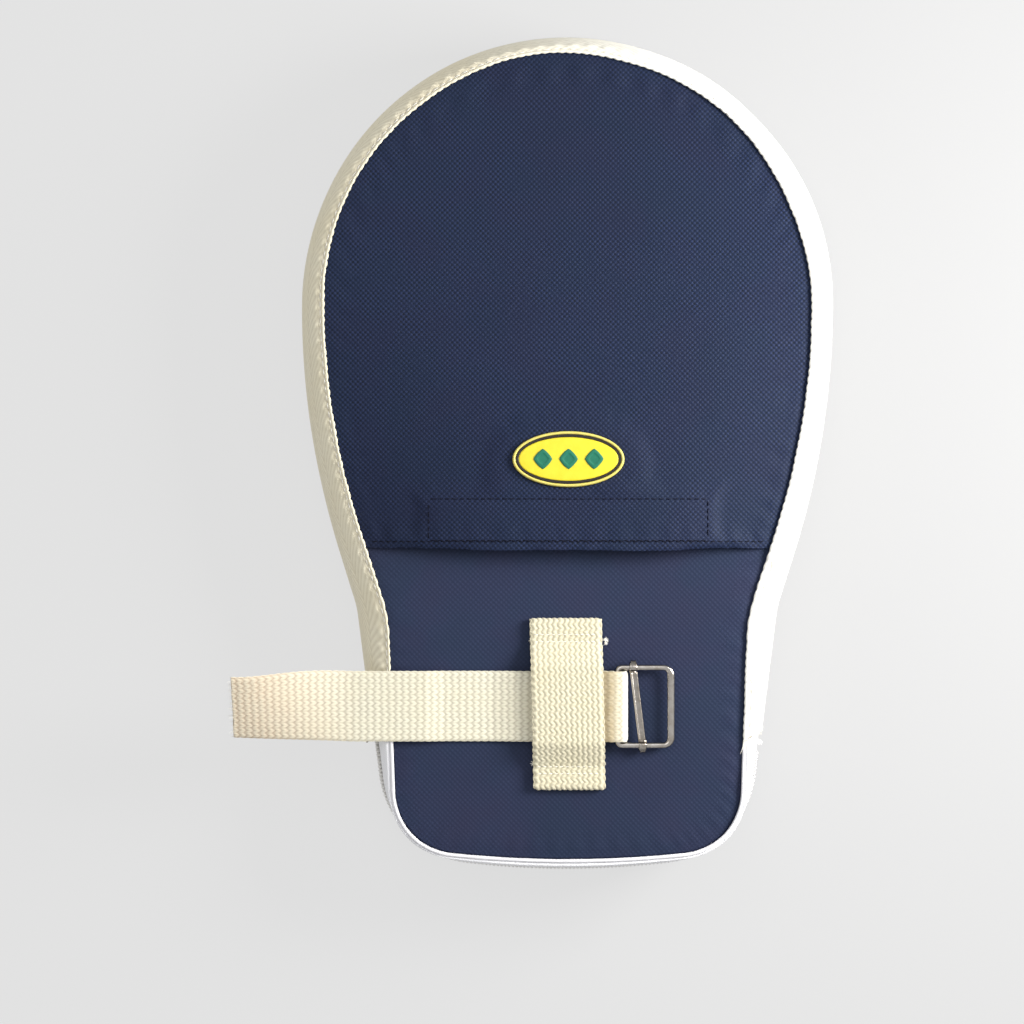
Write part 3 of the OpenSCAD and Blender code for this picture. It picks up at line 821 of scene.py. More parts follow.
inside = (np.abs(X3) < STRIP_L / 2 + 0.6) & (np.abs(Y3 - STRIP_Y) < STRIP_W / 2 + 0.6)
dx = np.abs(np.abs(X3) - (STRIP_L / 2 - 0.25)) + 3.0 * (np.abs(Y3 - STRIP_Y) > STRIP_W / 2 + 0.6)
dy = np.abs(np.abs(Y3 - STRIP_Y) - (STRIP_W / 2 - 0.25)) + 3.0 * (np.abs(X3) > STRIP_L / 2 + 0.6)
P3[..., 2] += groove(dx, 0.28, 0.9) + groove(dy, 0.28, 0.9)
P3[..., 2] += groove(np.abs(Y3 - HEM_Y), 0.32, 0.9)
P3[..., 2] += 0.16 * np.exp(-((Y3 - HEM_Y - 3.0) / 2.6) ** 2) * np.sin(2 * np.pi * X3 / 8.2 + 3 * noise1(X3, 17, 21))
P3[..., 2] += 0.22 * np.exp(-((Y3 - MOUTH - 1.2) / 1.0) ** 2)
# the free edge hangs a little between its ends
P3[..., 1] += np.clip((MOUTH + 10 - Y3) / 10, 0, 1) * (0.35 * noise1(X3, 30, 33) + 0.5 * (X3 / 60) ** 2)


def cloth_from_grid(name, P, t_top, t_bot, fold_rows=0):
    """Closed cloth from a grid: top surface shifted by t_top, underside by t_bot along the normal, rounded at the mouth row."""
    ny, nx = P.shape[:2]
    gu, gv = np.gradient(P, axis=0), np.gradient(P, axis=1)
    n = np.cross(gv, gu)
    n /= np.linalg.norm(n, axis=2, keepdims=True) + 1e-9
    n[n[..., 2] < 0] *= -1
    top = P + n * t_top
    bot = P + n * t_bot
    rows = [top]
    # rounded free edge at row 0
    r = (t_top - t_bot) / 2
    mid = P[0] + n[0] * (t_top + t_bot) / 2
    out = -(P[1] - P[0])
    out /= np.linalg.norm(out, axis=1, keepdims=True) + 1e-9
    arc = [mid + n[0] * r * math.cos(a) + out * r * math.sin(a) for a in np.linspace(0, np.pi, 7)[1:-1]]
    sheet = np.concatenate([top[::-1], np.array(arc), bot], 0)
    faces = grid_faces(sheet.shape[0], nx)
    ob = new_mesh(name, sheet.reshape(-1, 3), faces)
    # close the side and back edges
    import bmesh

    bm = bmesh.new()
    bm.from_mesh(ob.data)
    bm.verts.ensure_lookup_table()
    k = sheet.shape[0]
    na = len(arc)
    for c in (0, nx - 1):
        for j in range(ny - 1):
            a, b = j * nx + c, (j + 1) * nx + c
            a2, b2 = (k - 1 - j) * nx + c, (k - 2 - j) * nx + c
            bm.faces.new([bm.verts[i] for i in (a, b, b2, a2)])
        bm.faces.new([bm.verts[(ny - 1 + j) * nx + c] for j in range(na + 2)])
    for c in range(nx - 1):
        a, b = c, c + 1
        a2, b2 = (k - 1) * nx + c, (k - 1) * nx + c + 1
        bm.faces.new([bm.verts[i] for i in (a, b, b2, a2)])
    bmesh.ops.recalc_face_normals(bm, faces=bm.faces)
    bm.to_mesh(ob.data)
    bm.free()
    ob.data.polygons.foreach_set("use_smooth", np.ones(len(ob.data.polygons), bool))
    return ob


# the hem is the cloth folded under itself, so it is twice as thick there
hem_t = 0.25 + 0.45 * smooth((HEM_Y + 2.0 - P3[..., 1]) / 2.0)
pocket = cloth_from_grid("pocket_panel_cloth", P3, 0.0, -0.55)
finish_piece(pocket, M_NAVY2, "pad", "navy_pocket", "pocket_panel")

# folded hem layer on the inside, from the fold to its stitch line
hx = np.linspace(-1, 1, 120)
hy = np.linspace(0, 1, 10)
HWm = PW[0] - 2.5
HX = hx[None, :] * HWm * np.ones((10, 1))
HY = MOUTH + 0.9 + hy[:, None] * 6.0 * np.ones((1, 120))
_py = P3[:, :, 1]


def pocket_surf(x, y):
    """Height of the finished pocket cloth, by looking it up in the grid."""
    x, y = np.atleast_1d(np.asarray(x, float)), np.atleast_1d(np.asarray(y, float))
    yy = PY[:, 0]
    j = np.clip(np.searchsorted(yy, y) - 1, 0, len(yy) - 2)
    fy = np.clip((y - yy[j]) / (yy[j + 1] - yy[j]), 0, 1)
    out = np.zeros(x.shape)
    for q in range(len(x.ravel())):
        jj, f = j.ravel()[q], fy.ravel()[q]
        xs = PX[jj] * (1 - f) + PX[jj + 1] * f
        zs = P3[jj, :, 2] * (1 - f) + P3[jj + 1, :, 2] * f
        out.ravel()[q] = np.interp(x.ravel()[q], xs, zs)
    return out


HZ = pocket_surf(HX, HY) - 0.62
hem = cloth_from_grid("pocket_hem_fold", np.stack([HX, HY, HZ], -1), 0.0, -0.45)
finish_piece(hem, M_NAVY2, "pad", "navy_pocket")

# lining under the pocket cloth
LX, LY, LWd = pocket_grid(70, 60, FL - 0.5)
LZ = pocket_surf(LX, LY) - 0.80 - 0.35 * smooth(1 - pocket_cloth_z(LX, LY) / 2.5)
LZ -= 0.35 * np.exp(-np.maximum(LY - MOUTH - 6, 0) / 3.0)
LY2 = LY + np.clip((MOUTH + 12 - LY) / 12, 0, 1) * 3.2
lining = cloth_from_grid("pocket_lining_cloth", np.stack([LX, LY2, LZ], -1), 0.0, -0.3)
finish_piece(lining, M_LINING, "pad", "lining", "pocket_lining")


# closing strips: a woven base with hooks or loops standing on it
def pile_strip(name, zfun, sgn, node, kind):
    nx, ny = 100, 18
    X = np.linspace(-STRIP_L / 2, STRIP_L / 2, nx)[None, :] * np.ones((ny, 1))
    Y = (STRIP_Y + np.linspace(-STRIP_W / 2, STRIP_W / 2, ny))[:, None] * np.ones((1, nx))
    Z = zfun(X, Y)
    base = cloth_from_grid(name, np.stack([X, Y, Z], -1), 0.0, -0.4)
    paths, r = [], np.random.default_rng(11)
    step = 1.9 if kind == "hook" else 1.6
    for j, y in enumerate(np.arange(STRIP_Y - STRIP_W / 2 + 1.0, STRIP_Y + STRIP_W / 2 - 0.8, step)):
        for x in np.arange(-STRIP_L / 2 + 1.2, STRIP_L / 2 - 1.0, step):
            x0 = x + r.uniform(-0.25, 0.25) + 0.5 * (j % 2)
            y0 = y + r.uniform(-0.2, 0.2)
            z0 = float(np.interp(x0, X[0], Z[min(ny - 1, max(0, int((y0 - STRIP_Y + STRIP_W / 2) / STRIP_W * ny)))]))
            if sgn < 0:
                z0 -= 0.4
            a = np.linspace(0, 1.5 * np.pi if kind == "hook" else np.pi, 6)
            an = r.uniform(0, 2 * np.pi)
            rr = 0.32
            px = x0 + rr * (1 - np.cos(a)) * math.cos(an) * 0.9
            py = y0 + rr * (1 - np.cos(a)) * math.sin(an) * 0.9
            pz = z0 + sgn * (rr * 1.1 * np.sin(np.minimum(a, np.pi)) + 0.0)
            paths.append(np.stack([px, py, pz], 1))
    loops = tubes(name + "_pile", paths, 0.07, 4, False)
    ob = join(name, [base, loops])
    finish_piece(ob, M_BLACK, "pad", "strip_black", node)
    return ob


def hook_z(X, Y):
    return pocket_surf(X.ravel(), Y.ravel()).reshape(X.shape) - 1.35


pile_strip("hook_strip_pile", hook_z, -1, "hook_strip", "hook")
pile_strip("loop_strip_pile", lambda X, Y: np.full(X.shape, BACK + 0.42), 1, "loop_strip", "loop")


# ---------------------------------------------------------------- stitches
def stitch_row(path, pitch=2.6, gap=0.45, lift=0.18, sink=0.22, r=0.16, seed=1, n=7):
    """Lockstitch along a path: each stitch stands up a little and dives at its ends."""
    p, s = resample(path, 0.15)
    rr = np.random.default_rng(seed)
    out = []
    x = pitch * 0.3
    while x + pitch - gap < s[-1]:
        ln = pitch - gap
        u = np.linspace(0, 1, n)
        ss = x + u * ln + rr.uniform(-0.06, 0.06)
        q = np.stack([np.interp(ss, s, p[:, i]) for i in range(3)], 1)
        q[:, 2] += -sink + (lift + sink) * np.sin(np.pi * u) ** 0.55
        out.append(q)
        x += pitch
    return out


def pocket_path(pts, off):
    q, s = resample(np.asarray(pts, float), 0.8)
    z = pocket_surf(q[:, 0], q[:, 1]) + off
    return np.column_stack([q[:, 0], q[:, 1], z])


hl, hw = STRIP_L / 2 - 0.25, STRIP_W / 2 - 0.25
rect = [(-hl, STRIP_Y + hw), (hl, STRIP_Y + hw), (hl, STRIP_Y - hw), (-hl, STRIP_Y - hw), (-hl, STRIP_Y + hw)]
rows = []
for a, b in zip(rect[:-1], rect[1:]):
    rows += stitch_row(pocket_path([a, b], 0.05), 2.5, 0.5, 0.14, 0.2, 0.16, seed=len(rows))
rows += stitch_row(pocket_path([(-PW[0] + 3.2, HEM_Y), (PW[0] - 3.2, HEM_Y)], 0.05), 2.5, 0.5, 0.14, 0.2, 0.16, seed=5)
hemt = tubes("hem_stitching", rows, 0.17, 5)
finish_piece(hemt, M_DTHREAD, "pad", "thread_dark", "hem_thread")

# ---------------------------------------------------------------- side tape
ML = Line(ZIP_L, FULL + ZIP_R - 1.9, 0.5)
ML.lift = LIFT * smooth((ML.N[:, 1] - (MOUTH - 6.0)) / 5.0)


def section(samples, W=9.0):
    """Arc length along a list of (f, d, z, lw) rows."""
    x = samples[:, 0] * W + samples[:, 1]
    seg = np.hypot(np.diff(x), np.diff(samples[:, 2]))
    return np.concatenate([[0], np.cumsum(seg)])


def tape_section():
    fl = np.stack([np.zeros(26), np.linspace(0, FL, 26), np.full(26, BACK + 0.85), np.ones(26)], 1)
    a = np.linspace(90, -47.5, 260)
    f, d, z, lw = sd(a)
    return np.concatenate([fl[:-1], np.stack([f, d, z, lw], 1)], 0)


TS = tape_section()
TV = section(TS)
v_out = np.concatenate([np.arange(0, 16, 0.32), np.arange(16, TV[-1], 0.8), [TV[-1]]])


def sec_at(v):
    return np.stack([np.interp(v, TV, TS[:, i]) for i in range(4)], 1)


def place(line, sec, dd=0.0, dz=0.0):
    """sec (m, 4) swept over the line; dd and dz add outward and upward shifts (k, m)."""
    f, d, z, lw = (sec[:, i][None, :] for i in range(4))
    P = line.N[:, None, :] + f[..., None] * (line.S - line.N)[:, None, :] + (d + dd)[..., None] * line.U[:, None, :]
    Z = z + lw * line.lift[:, None] + dz
    return np.concatenate([P, np.broadcast_to(Z, P.shape[:2])[..., None]], 2)


def herringbone(u, v, off=2.4, band=4.9, slant=1.9, pitch=3.0):
    w = v - off
    ping = band - np.abs(np.mod(w, 2 * band) - band)
    ph = u + slant * ping + 0.35 * noise2(u, v, 9, 41)
    h = np.abs(np.sin(np.pi * ph / pitch)) ** 0.8
    seamline = np.exp(-((np.mod(w + band / 2, band) - band / 2) / 0.35) ** 2)
    return h * (1 - 0.5 * seamline)


def tape_hand():
    """Hand-sewn unevenness along the tape: bead width, and how far its two edges wander."""
    a = np.mod(np.degrees(np.arctan2(ML.N[:, 1] - 3.3, ML.N[:, 0] + 2.9)) + 90, 360) - 90
    bump_ = lambda c, w: np.exp(-((a - c) / w) ** 2)
    inner = 1.25 * bump_(97, 20) - 1.2 * bump_(22, 19)
    outer = -0.5 * bump_(152, 30) - 0.45 * bump_(40, 14) - 0.3 * bump_(70, 12)
    bead = 1.15 + 0.95 * smooth((70 - a) / 60)
    return inner, outer, bead, smooth((a - 50) / 60)


TAPE_IN, TAPE_OUT, TAPE_BEAD, TAPE_DROOP = tape_hand()


def droop(V):
    """On one side the tape falls away straight from its bead instead of lying flat first."""
    w = np.clip(V - 1.3, 0, 4.2) * (1 - smooth((V - 6.0) / 8.0))
    return -0.36 * TAPE_DROOP[:, None] * w


def make_side_tape():
    so = sec_at(v_out)
    k, m = ML.k, len(v_out)
    U2 = np.broadcast_to(ML.u[:, None], (k, m))
    V2 = np.broadcast_to(v_out[None, :], (k, m))
    h = herringbone(U2, V2)
    # section normals
    x = so[:, 0] * 9 + so[:, 1]
    tx, tz = np.gradient(x), np.gradient(so[:, 2])
    ln = np.hypot(tx, tz) + 1e-9
    nx, nz = -tz / ln, tx / ln
    nx[v_out < FL - 0.3], nz[v_out < FL - 0.3] = 0.0, 1.0
    disp = -0.24 * (1 - h) * smooth((V2 - TAPE_BEAD[:, None] - 0.5) / 0.8)
    # slow unevenness of the stuffed side
    disp = disp - 0.26 * (0.5 + 0.5 * noise2(U2, V2, 34, 8)) * smooth((V2 - 5) / 8)
    # scalloped bright edge, then the groove its stitches pull in
    sc = np.abs(np.sin(np.pi * U2 / 3.0))
    BW = TAPE_BEAD[:, None] * np.ones_like(V2)
    bead = np.sin(np.pi * np.clip(V2 / BW, 0, 1)) * (0.18 + 0.30 * sc) * (V2 < BW)
    gr = -0.5 * np.exp(-((V2 - BW - 0.35) / 0.38) ** 2) * (0.65 + 0.35 * sc)
    pull = 0.22 * np.exp(-((V2 - 3.6) / 1.1) ** 2) * np.cos(2 * np.pi * U2 / 6.0 + 1.5 * noise1(ML.u, 25, 6)[:, None])
    disp = disp + bead + gr + pull
    dd = disp * nx[None, :]
    dz = disp * nz[None, :]
    edge = (0.42 * (1 - sc ** 0.7) - 0.05 + 0.12 * noise1(ML.u, 5, 12)[:, None]) * (1 - smooth(V2 / 1.2))
    dd = dd + edge + TAPE_IN[:, None] * (1 - smooth((V2 - 1.5) / 4.0)) + TAPE_OUT[:, None] * smooth((V2 - 3) / 7.0) * (1 - smooth((V2 - 24) / 8.0))
    outer = place(ML, so, dd, dz)
    v_in = np.array([0.0, 1.2, 2.5, 5, 9, 14, 20, 26, 32, TV[-1]])
    si = sec_at(v_in)
    xi = si[:, 0] * 9 + si[:, 1]
    tx, tz = np.gradient(xi), np.gradient(si[:, 2])
    ln = np.hypot(tx, tz)
    nxi, nzi = -tz / ln, tx / ln
    nxi[:2], nzi[:2] = 0, 1
    t = 0.78
    dz = dz + droop(V2)
    outer = place(ML, so, dd, dz)
    inner = place(ML, si, -t * nxi[None, :] * np.ones((k, 1)), -t * nzi[None, :] * np.ones((k, 1)) + droop(np.broadcast_to(v_in[None, :], (k, len(v_in)))))
    inner[:, :, :2] += (TAPE_OUT[:, None] * (smooth((v_in - 3) / 7.0) * (1 - smooth((v_in - 24) / 8.0)))[None, :])[..., None] * ML.U[:, None, :]
    inner[:, :3, :2] += (TAPE_IN[:, None] * np.array([1.0, 0.9, 0.6])[None, :])[..., None] * ML.U[:, None, :]
    inner[:, 0, :2] += 0.3 * ML.U
    inner[:, 0, 2] += 0.05
    ring = np.concatenate([outer, inner[:, ::-1]], 1)
    hh = np.concatenate([np.clip(0.25 + 0.75 * h, 0, 1), np.full((k, len(v_in)), 0.5)], 1)
    # colour values: the bead keeps the full tape colour, painted shade in the stitch groove
    hh[:, :m] = np.where(V2 < BW - 0.1, 0.82 + 0.18 * sc, hh[:, :m])
    hh[:, :m] -= 0.4 * np.exp(-((V2 - BW - 0.35) / 0.4) ** 2)
    hh = np.clip(hh, 0, 1)
    uv = np.stack([np.broadcast_to(ML.u[:, None], ring.shape[:2]),
                   np.broadcast_to(np.concatenate([v_out, v_in[::-1] + 50])[None, :], ring.shape[:2])], -1)
    # ragged cut at both ends
    for end, sgn in ((0, -1), (k - 1, 1)):
        tdir = ML.N[1] - ML.N[0] if end == 0 else ML.N[-1] - ML.N[-2]
        tdir = tdir / np.linalg.norm(tdir) * (1 if end else -1)
        rag = 0.35 * noise1(np.arange(ring.shape[1]) * 0.32, 0.5, 77 + end)
        ring[end, :, :2] += rag[:, None] * tdir[None, :]
    ob = ring_sweep("side_tape_cloth", ring, uv)
    relief_attr(ob, hh.ravel())
    return ob


# the tape gets painted shade in its valleys and painted light along its far part
M_TAPEG = cream_web("cream_tape", (238, 231, 206), False, 0.6, ML.length * 0.42)
side = make_side_tape()
finish_piece(side, M_TAPEG, "pad", "side_tape", "side_tape")


def line_path(line, d, z, lw=1.0, f=0.0, a=None):
    if a is not None:
        f, d, z, lw = (float(q) for q in sd(a, -d))
    P = line.N + f * (line.S - line.N) + d * line.U
    return np.column_stack([P, z + lw * line.lift])


rows = stitch_row(line_path(ML, (TAPE_BEAD + 0.35 + TAPE_IN)[:, None], BACK + 0.85 - 0.34), 3.0, 0.7, 0.22, 0.22, 0.2, seed=3, n=6)
th = tubes("tape_stitching", rows, 0.19, 5)
finish_piece(th, M_THREAD, "pad", "thread_pale", "tape_thread")

# frayed threads at the tape's cut end on the right, and on the left under the strap
fr = []
r_ = np.random.default_rng(23)
for (ln_i, tdir, cnt) in ((-1, ML.N[-1] - ML.N[-6], 26), (0, ML.N[0] - ML.N[5], 10)):
    tdir = tdir / np.linalg.norm(tdir)
    for q in range(cnt):
        v = r_.uniform(0.1, 15.5)
        s = sec_at(np.array([v]))[0]
        p0 = ML.N[ln_i] + s[0] * (ML.S[ln_i] - ML.N[ln_i]) + s[1] * ML.U[ln_i]
        L = r_.uniform(0.8, 2.4) if v > 4 else r_.uniform(1.2, 4.2)
        if cnt == 26 and q < 3:
            v, L = 0.5 + 0.5 * q, 4.6 - q
            s = sec_at(np.array([v]))[0]
            p0 = ML.N[ln_i] + s[1] * ML.U[ln_i]
        side_v = np.array([-tdir[1], tdir[0]])
        an = r_.uniform(-0.22, 0.22)
        tt = np.linspace(0, 1, 7)
        bend = r_.uniform(-0.35, 0.35)
        xy = p0[None, :] + (tdir[None, :] * math.cos(an) + side_v[None, :] * math.sin(an)) * (L * tt)[:, None] \
            + side_v[None, :] * (bend * tt ** 2)[:, None]
        z0 = s[2] + s[3] * ML.lift[ln_i] - 0.35
        zz = z0 - 0.25 * tt * (1 if v > 3 else 0.6) + 0.3 * np.sin(tt * 3)
        p = np.column_stack([xy, zz])
        p[0, :2] -= tdir * 0.6
        fr.append(p)
fray = tubes("tape_frayed_threads", fr, 0.11, 5)
finish_piece(fray, M_THREAD, "pad", "thread_pale")

# ---------------------------------------------------------------- strike cover
def make_strike_cover():
    ln = Line(0, FULL, 2.0)
    k = ln.k - 1
    ang = np.concatenate([np.linspace(-90, -84, 5), np.linspace(-82, -48.2, 18)])
    f, d, z, lw = sd(ang)
    sec = np.stack([f, d, z, 0 * lw], 1)
    puck = 0.14 * np.sin(2 * np.pi * ln.u / 6.4 + 2 * noise1(ln.u, 21, 61))[:, None] * smooth((ang + 62) / 12)[None, :]
    side_ = place(ln, sec, -np.abs(puck) - 0.02, np.zeros((ln.k, len(ang))))[:-1]
    fi, di, zi, _ = sd(ang[::-1], 1.15)
    inn = place(ln, np.stack([fi, di, zi, 0 * zi], 1))[:-1]
    E = side_[:, 0, :2]
    cy = np.clip(E[:, 1], -132, 0)
    C = np.stack([np.zeros(k), cy], 1)
    rings = 24
    fr_ = np.linspace(0, 1, rings)[:-1] ** 0.8
    P = C[:, None, :] + fr_[None, :, None] * (E - C)[:, None, :]
    zb = 0.06 + 0.05 * noise2(P[..., 0], P[..., 1], 30, 71) * (1 - fr_[None, :] ** 4)
    bot = np.concatenate([P, zb[..., None]], 2)
    Pi = P[:, ::-1].copy()
    top = np.concatenate([Pi, np.full((*Pi.shape[:2], 1), 1.2)], 2)
    ring = np.concatenate([bot, side_, inn, top], 1)
    ob = new_mesh("strike_cover_cloth", ring.reshape(-1, 3), grid_faces(k, ring.shape[1], True, False))
    weld(ob, 0.02)
    finish_piece(ob, M_STRIKE, "pad", "strike_cloth", "strike_cover")


make_strike_cover()

# whip stitches that close the side over the strike cover's edge
WL = Line(0, FULL, 0.5)
paths = []
r_ = np.random.default_rng(31)
for i in range(0, WL.k - 6, 6):
    q = []
    for j, a in enumerate(np.linspace(-45.6, -51.2, 7)):
        f, d, z, _ = (float(v) for v in sd(a, -0.16 * math.sin(math.pi * j / 6) + 0.18 * (j in (0, 6))))
        P = WL.N[min(i + j // 3, WL.k - 1)] * (1 - f) + f * WL.S[min(i + j // 3, WL.k - 1)]
        P = P + d * WL.U[min(i + j // 3, WL.k - 1)]
        q.append([P[0], P[1], z])
    paths.append(np.array(q))
seam = tubes("strike_seam_stitching", paths, 0.2, 5)
finish_piece(seam, M_THREAD, "pad", "thread_pale")


# ---------------------------------------------------------------- foams
def foam_loft(name, angs, mat, slot_name, node, seed):
    ln = Line(0, FULL, 4.0)
    k = ln.k - 1
    # room for the zipper round the wrist end
    tz = np.minimum(ln.t - ZIP_R + 4, ZIP_L + 4 - ln.t) / 4
    inset = np.clip(tz, 0, 1)[:-1] * 4.4
    rings = []
    for a in angs:
        f, d, z, _ = (float(v) for v in sd(a, 1.5))
        z = min(z, BACK - 0.95)
        P = ln.N[:-1] + f * (ln.S - ln.N)[:-1] + (d - inset * math.cos(math.radians(a)))[:, None] * ln.U[:-1]
        wave = 0.05 * noise1(ln.u[:-1], 12, seed + 200 + int(a))
        rings.append(np.column_stack([P - np.abs(wave)[:, None] * ln.U[:-1], np.full(k, z)]))

    def cap(edge, z, seedc, up):
        cy = np.clip(edge[:, 1], -132, 0)
        C = np.stack([np.zeros(k), cy], 1)
        out = []
        for f in np.linspace(0, 1, 12)[:-1]:
            P = C + f * (edge[:, :2] - C)
            zz = z - up * 0.1 * (0.5 + 0.5 * noise2(P[:, 0], P[:, 1], 14, seedc)) * (1 - f ** 6)
            out.append(np.column_stack([P, zz]))
        return out

    lo = cap(rings[0], rings[0][0, 2], seed + 90, -1)
    hi = cap(rings[-1], rings[-1][0, 2], seed + 91, 1)
    ring = np.stack(lo + rings + hi[::-1], 1)
    ob = new_mesh(name, ring.reshape(-1, 3), grid_faces(k, ring.shape[1], True, False))
    weld(ob, 0.02)
    finish_piece(ob, mat, "pad", slot_name, node)
    return ob


M_FOAM = foam_mat("soft_foam_cream", (226, 216, 188), (196, 184, 150))
M_CORE = foam_mat("dense_foam_grey", (74, 76, 82), (48, 50, 56))
foam_loft("strike_foam_block", [-84, -78, -66, -54, -42, -30, -27.6], M_FOAM, "soft_foam", "strike_foam", 1)
foam_loft("impact_core_block", [-26, -16, -4, 8, 20, 32, 35.6], M_CORE, "dense_foam", "impact_core", 2)
foam_loft("palm_foam_block", [37.2, 44, 52, 60, 63.5], M_FOAM, "soft_foam", "palm_foam", 3)

# ---------------------------------------------------------------- zipper
ZLn = Line(ZIP_R - 1.7, ZIP_L, 0.6)
ZLn.lift = ZLn.lift * 0


def zip_tape(name, a0, a1, node):
    t = 0.65
    ang = np.linspace(a0, a1, 44)
    f, d, z, lw = sd(ang, 0.0, 2.3)
    so = np.stack([f, d, z, 0 * lw], 1)
    if a0 > 60:
        so = np.concatenate([np.stack([np.zeros(5), np.linspace(1.28, 1.95, 5), np.linspace(38.35, 38.88, 5), np.zeros(5)], 1), so], 0)
    angi = np.linspace(a1, a0, 12)
    f, d, z, lw = sd(angi, t, 2.3)
    si = np.stack([f, d, z, 0 * lw], 1)
    v = section(so)
    k = ZLn.k
    U2 = ZLn.u[:, None] * np.ones((1, len(v)))
    V2 = v[None, :] * np.ones((k, 1))
    edge = np.minimum(V2, v[-1] - V2)
    # woven ribs and a stitch line along the coil edge
    coil_edge = (v[-1] - V2) if a1 > 0 else V2
    disp = -0.08 * (0.5 + 0.5 * np.sin(2 * np.pi * U2 / 1.5)) * smooth(edge / 1.0)
    disp -= 0.30 * np.exp(-((coil_edge - 2.2) / 0.35) ** 2)
    if a0 > 60:
        disp -= 0.16 * np.exp(-((V2 - 4.3) / 0.34) ** 2) * (0.75 + 0.25 * np.abs(np.sin(np.pi * U2 / 2.4)))
    disp -= 0.30 * (0.5 + 0.5 * noise2(U2, V2, 26, 88)) * smooth(edge / 3.0) * (0.35 if a0 > 60 else 1.0)
    if a0 > 60:
        # the cloth beside the chain rolls out a little and half hides the teeth
        disp += 0.55 * smooth((V2 - 5.0) / 7.0) * np.maximum(smooth((ZLn.S[:, 0] + 20) / 30), smooth((-176 - ZLn.S[:, 1]) / 8))[:, None]
    outer = place(ZLn, so, disp, 0 * disp)
    inner = place(ZLn, si)
    ring = np.concatenate([outer, inner], 1)
    uv = np.stack([np.broadcast_to(ZLn.u[:, None], ring.shape[:2]),
                   np.broadcast_to(np.concatenate([v, v[-1] + 1 + np.arange(len(angi))])[None, :], ring.shape[:2])], -1)
    ob = ring_sweep(name, ring, uv)
    finish_piece(ob, M_ZIP, "pad", "zipper_cloth", node)


zip_tape("zipper_tape_upper_cloth", 84, 7.6, "zipper_tape_upper")
zip_tape("zipper_tape_lower_cloth", 4.4, -47.5, "zipper_tape_lower")


def zip_coil(name, s, node):
    ln = Line(ZIP_R + 2, ZIP_L - 2, 1.4)
    pitch = 1.4
    turns = int(ln.length / pitch) - 1
    n = 12
    ph = np.arange(turns * n) / n
    u = (ph + (0.5 if s < 0 else 0.0)) * pitch + 0.3
    a = 2 * np.pi * ph
    dep = -1.55 + 0.72 * np.sin(a)
    # flattened loop with a broad head at the middle of the chain
    zz = 22.0 + s * (1.22 - 1.16 * np.cos(a) - 0.12 * np.cos(2 * a))
    Sx = np.interp(u, ln.u, ln.S[:, 0]) + dep * np.interp(u, ln.u, ln.U[:, 0])
    Sy = np.interp(u, ln.u, ln.S[:, 1]) + dep * np.interp(u, ln.u, ln.U[:, 1])
    ob = tubes(name, [np.column_stack([Sx, Sy, zz])], 0.30, 7)
    finish_piece(ob, M_COIL, "pad", "zipper_coil", node)


zip_coil("zipper_coil_upper_loops", 1, "zipper_coil_upper")
zip_coil("zipper_coil_lower_loops", -1, "zipper_coil_lower")

# piping beside the navy panel: a cord wrapped in cloth, with the ridge of its seam
pip = line_path(ZLn, 0.82, BACK + 0.70, 0.0)
pip[:, 2] += 0.06 * noise1(ZLn.u, 9, 51)
pip[:, 2] -= 0.55 * (pip[:, 0] > 0) * smooth((pip[:, 1] + 172) / 8)
pr = 0.66 * (1 + 0.05 * np.sin(2 * np.pi * ZLn.u / 1.3) + 0.05 * noise1(ZLn.u, 4, 52))
ob = tubes("zipper_piping_cord", [pip], pr, 12)
ob2 = tubes("zipper_piping_stitch", stitch_row(line_path(ZLn, 1.75, BACK - 0.1, 0.0), 2.6, 0.5, 0.22, 0.15, 0.16, seed=8), 0.16, 5)
ob.data.materials.append(M_THREAD)
finish_piece(ob, thread_mat("piping_white", (250, 249, 252), 0.6), "pad", "zipper_cloth", "zipper_piping")
finish_piece(ob2, M_THREAD, "pad", "thread_pale")


def rounded_box(lo, hi, r, seg=3):
    import bmesh

    bm = bmesh.new()
    bmesh.ops.create_cube(bm, size=1.0)
    lo, hi = np.array(lo, float), np.array(hi, float)
    c, s = (lo + hi) / 2, hi - lo
    for v in bm.verts:
        v.co = Vector([c[i] + v.co[i] * s[i] for i in range(3)])
    bmesh.ops.bevel(bm, geom=list(bm.edges), offset=min(r, 0.48 * float(s.min())), segments=seg, profile=0.5, affect="EDGES")
    vs = np.array([v.co[:] for v in bm.verts])
    bm.verts.index_update()
    fs = [[v.index for v in f.verts] for f in bm.faces]
    bm.free()
    return vs, fs


def merged(name, parts, xf=None):
    vs, fs, off = [], [], 0
    for v, f in parts:
        vs.append(v)
        fs += [[i + off for i in g] for g in f]
        off += len(v)
    v = np.concatenate(vs)
    if xf is not None:
        v = xf(v)
    ob = new_mesh(name, v, fs)
    return fix_normals(ob)


def tube_part(path, radius, sides=12, closed=False):
    pts = tube_arrays(path, radius, sides, closed)
    nu, nv = pts.shape[:2]
    fs = [list(f) for f in grid_faces(nu, nv, closed, True)]
    if not closed:
        fs += [[j for j in range(nv)][::-1], [(nu - 1) * nv + j for j in range(nv)]]
    return pts.reshape(-1, 3), fs


neck0 = SC.e4


def side_frame(y, right):
    a = math.radians(7.3)
    x = neck0[0] + (y - neck0[1]) * math.tan(a)

    def xf(v):
        th = -a if right else math.pi + a
        c, s = math.cos(th), math.sin(th)
        q = v.copy()
        q[:, 0] = v[:, 0] * c - v[:, 1] * s + (x if right else -x)
        q[:, 1] = v[:, 0] * s + v[:, 1] * c + y
        q[:, 2] = v[:, 2] + 22
        return q
    return xf


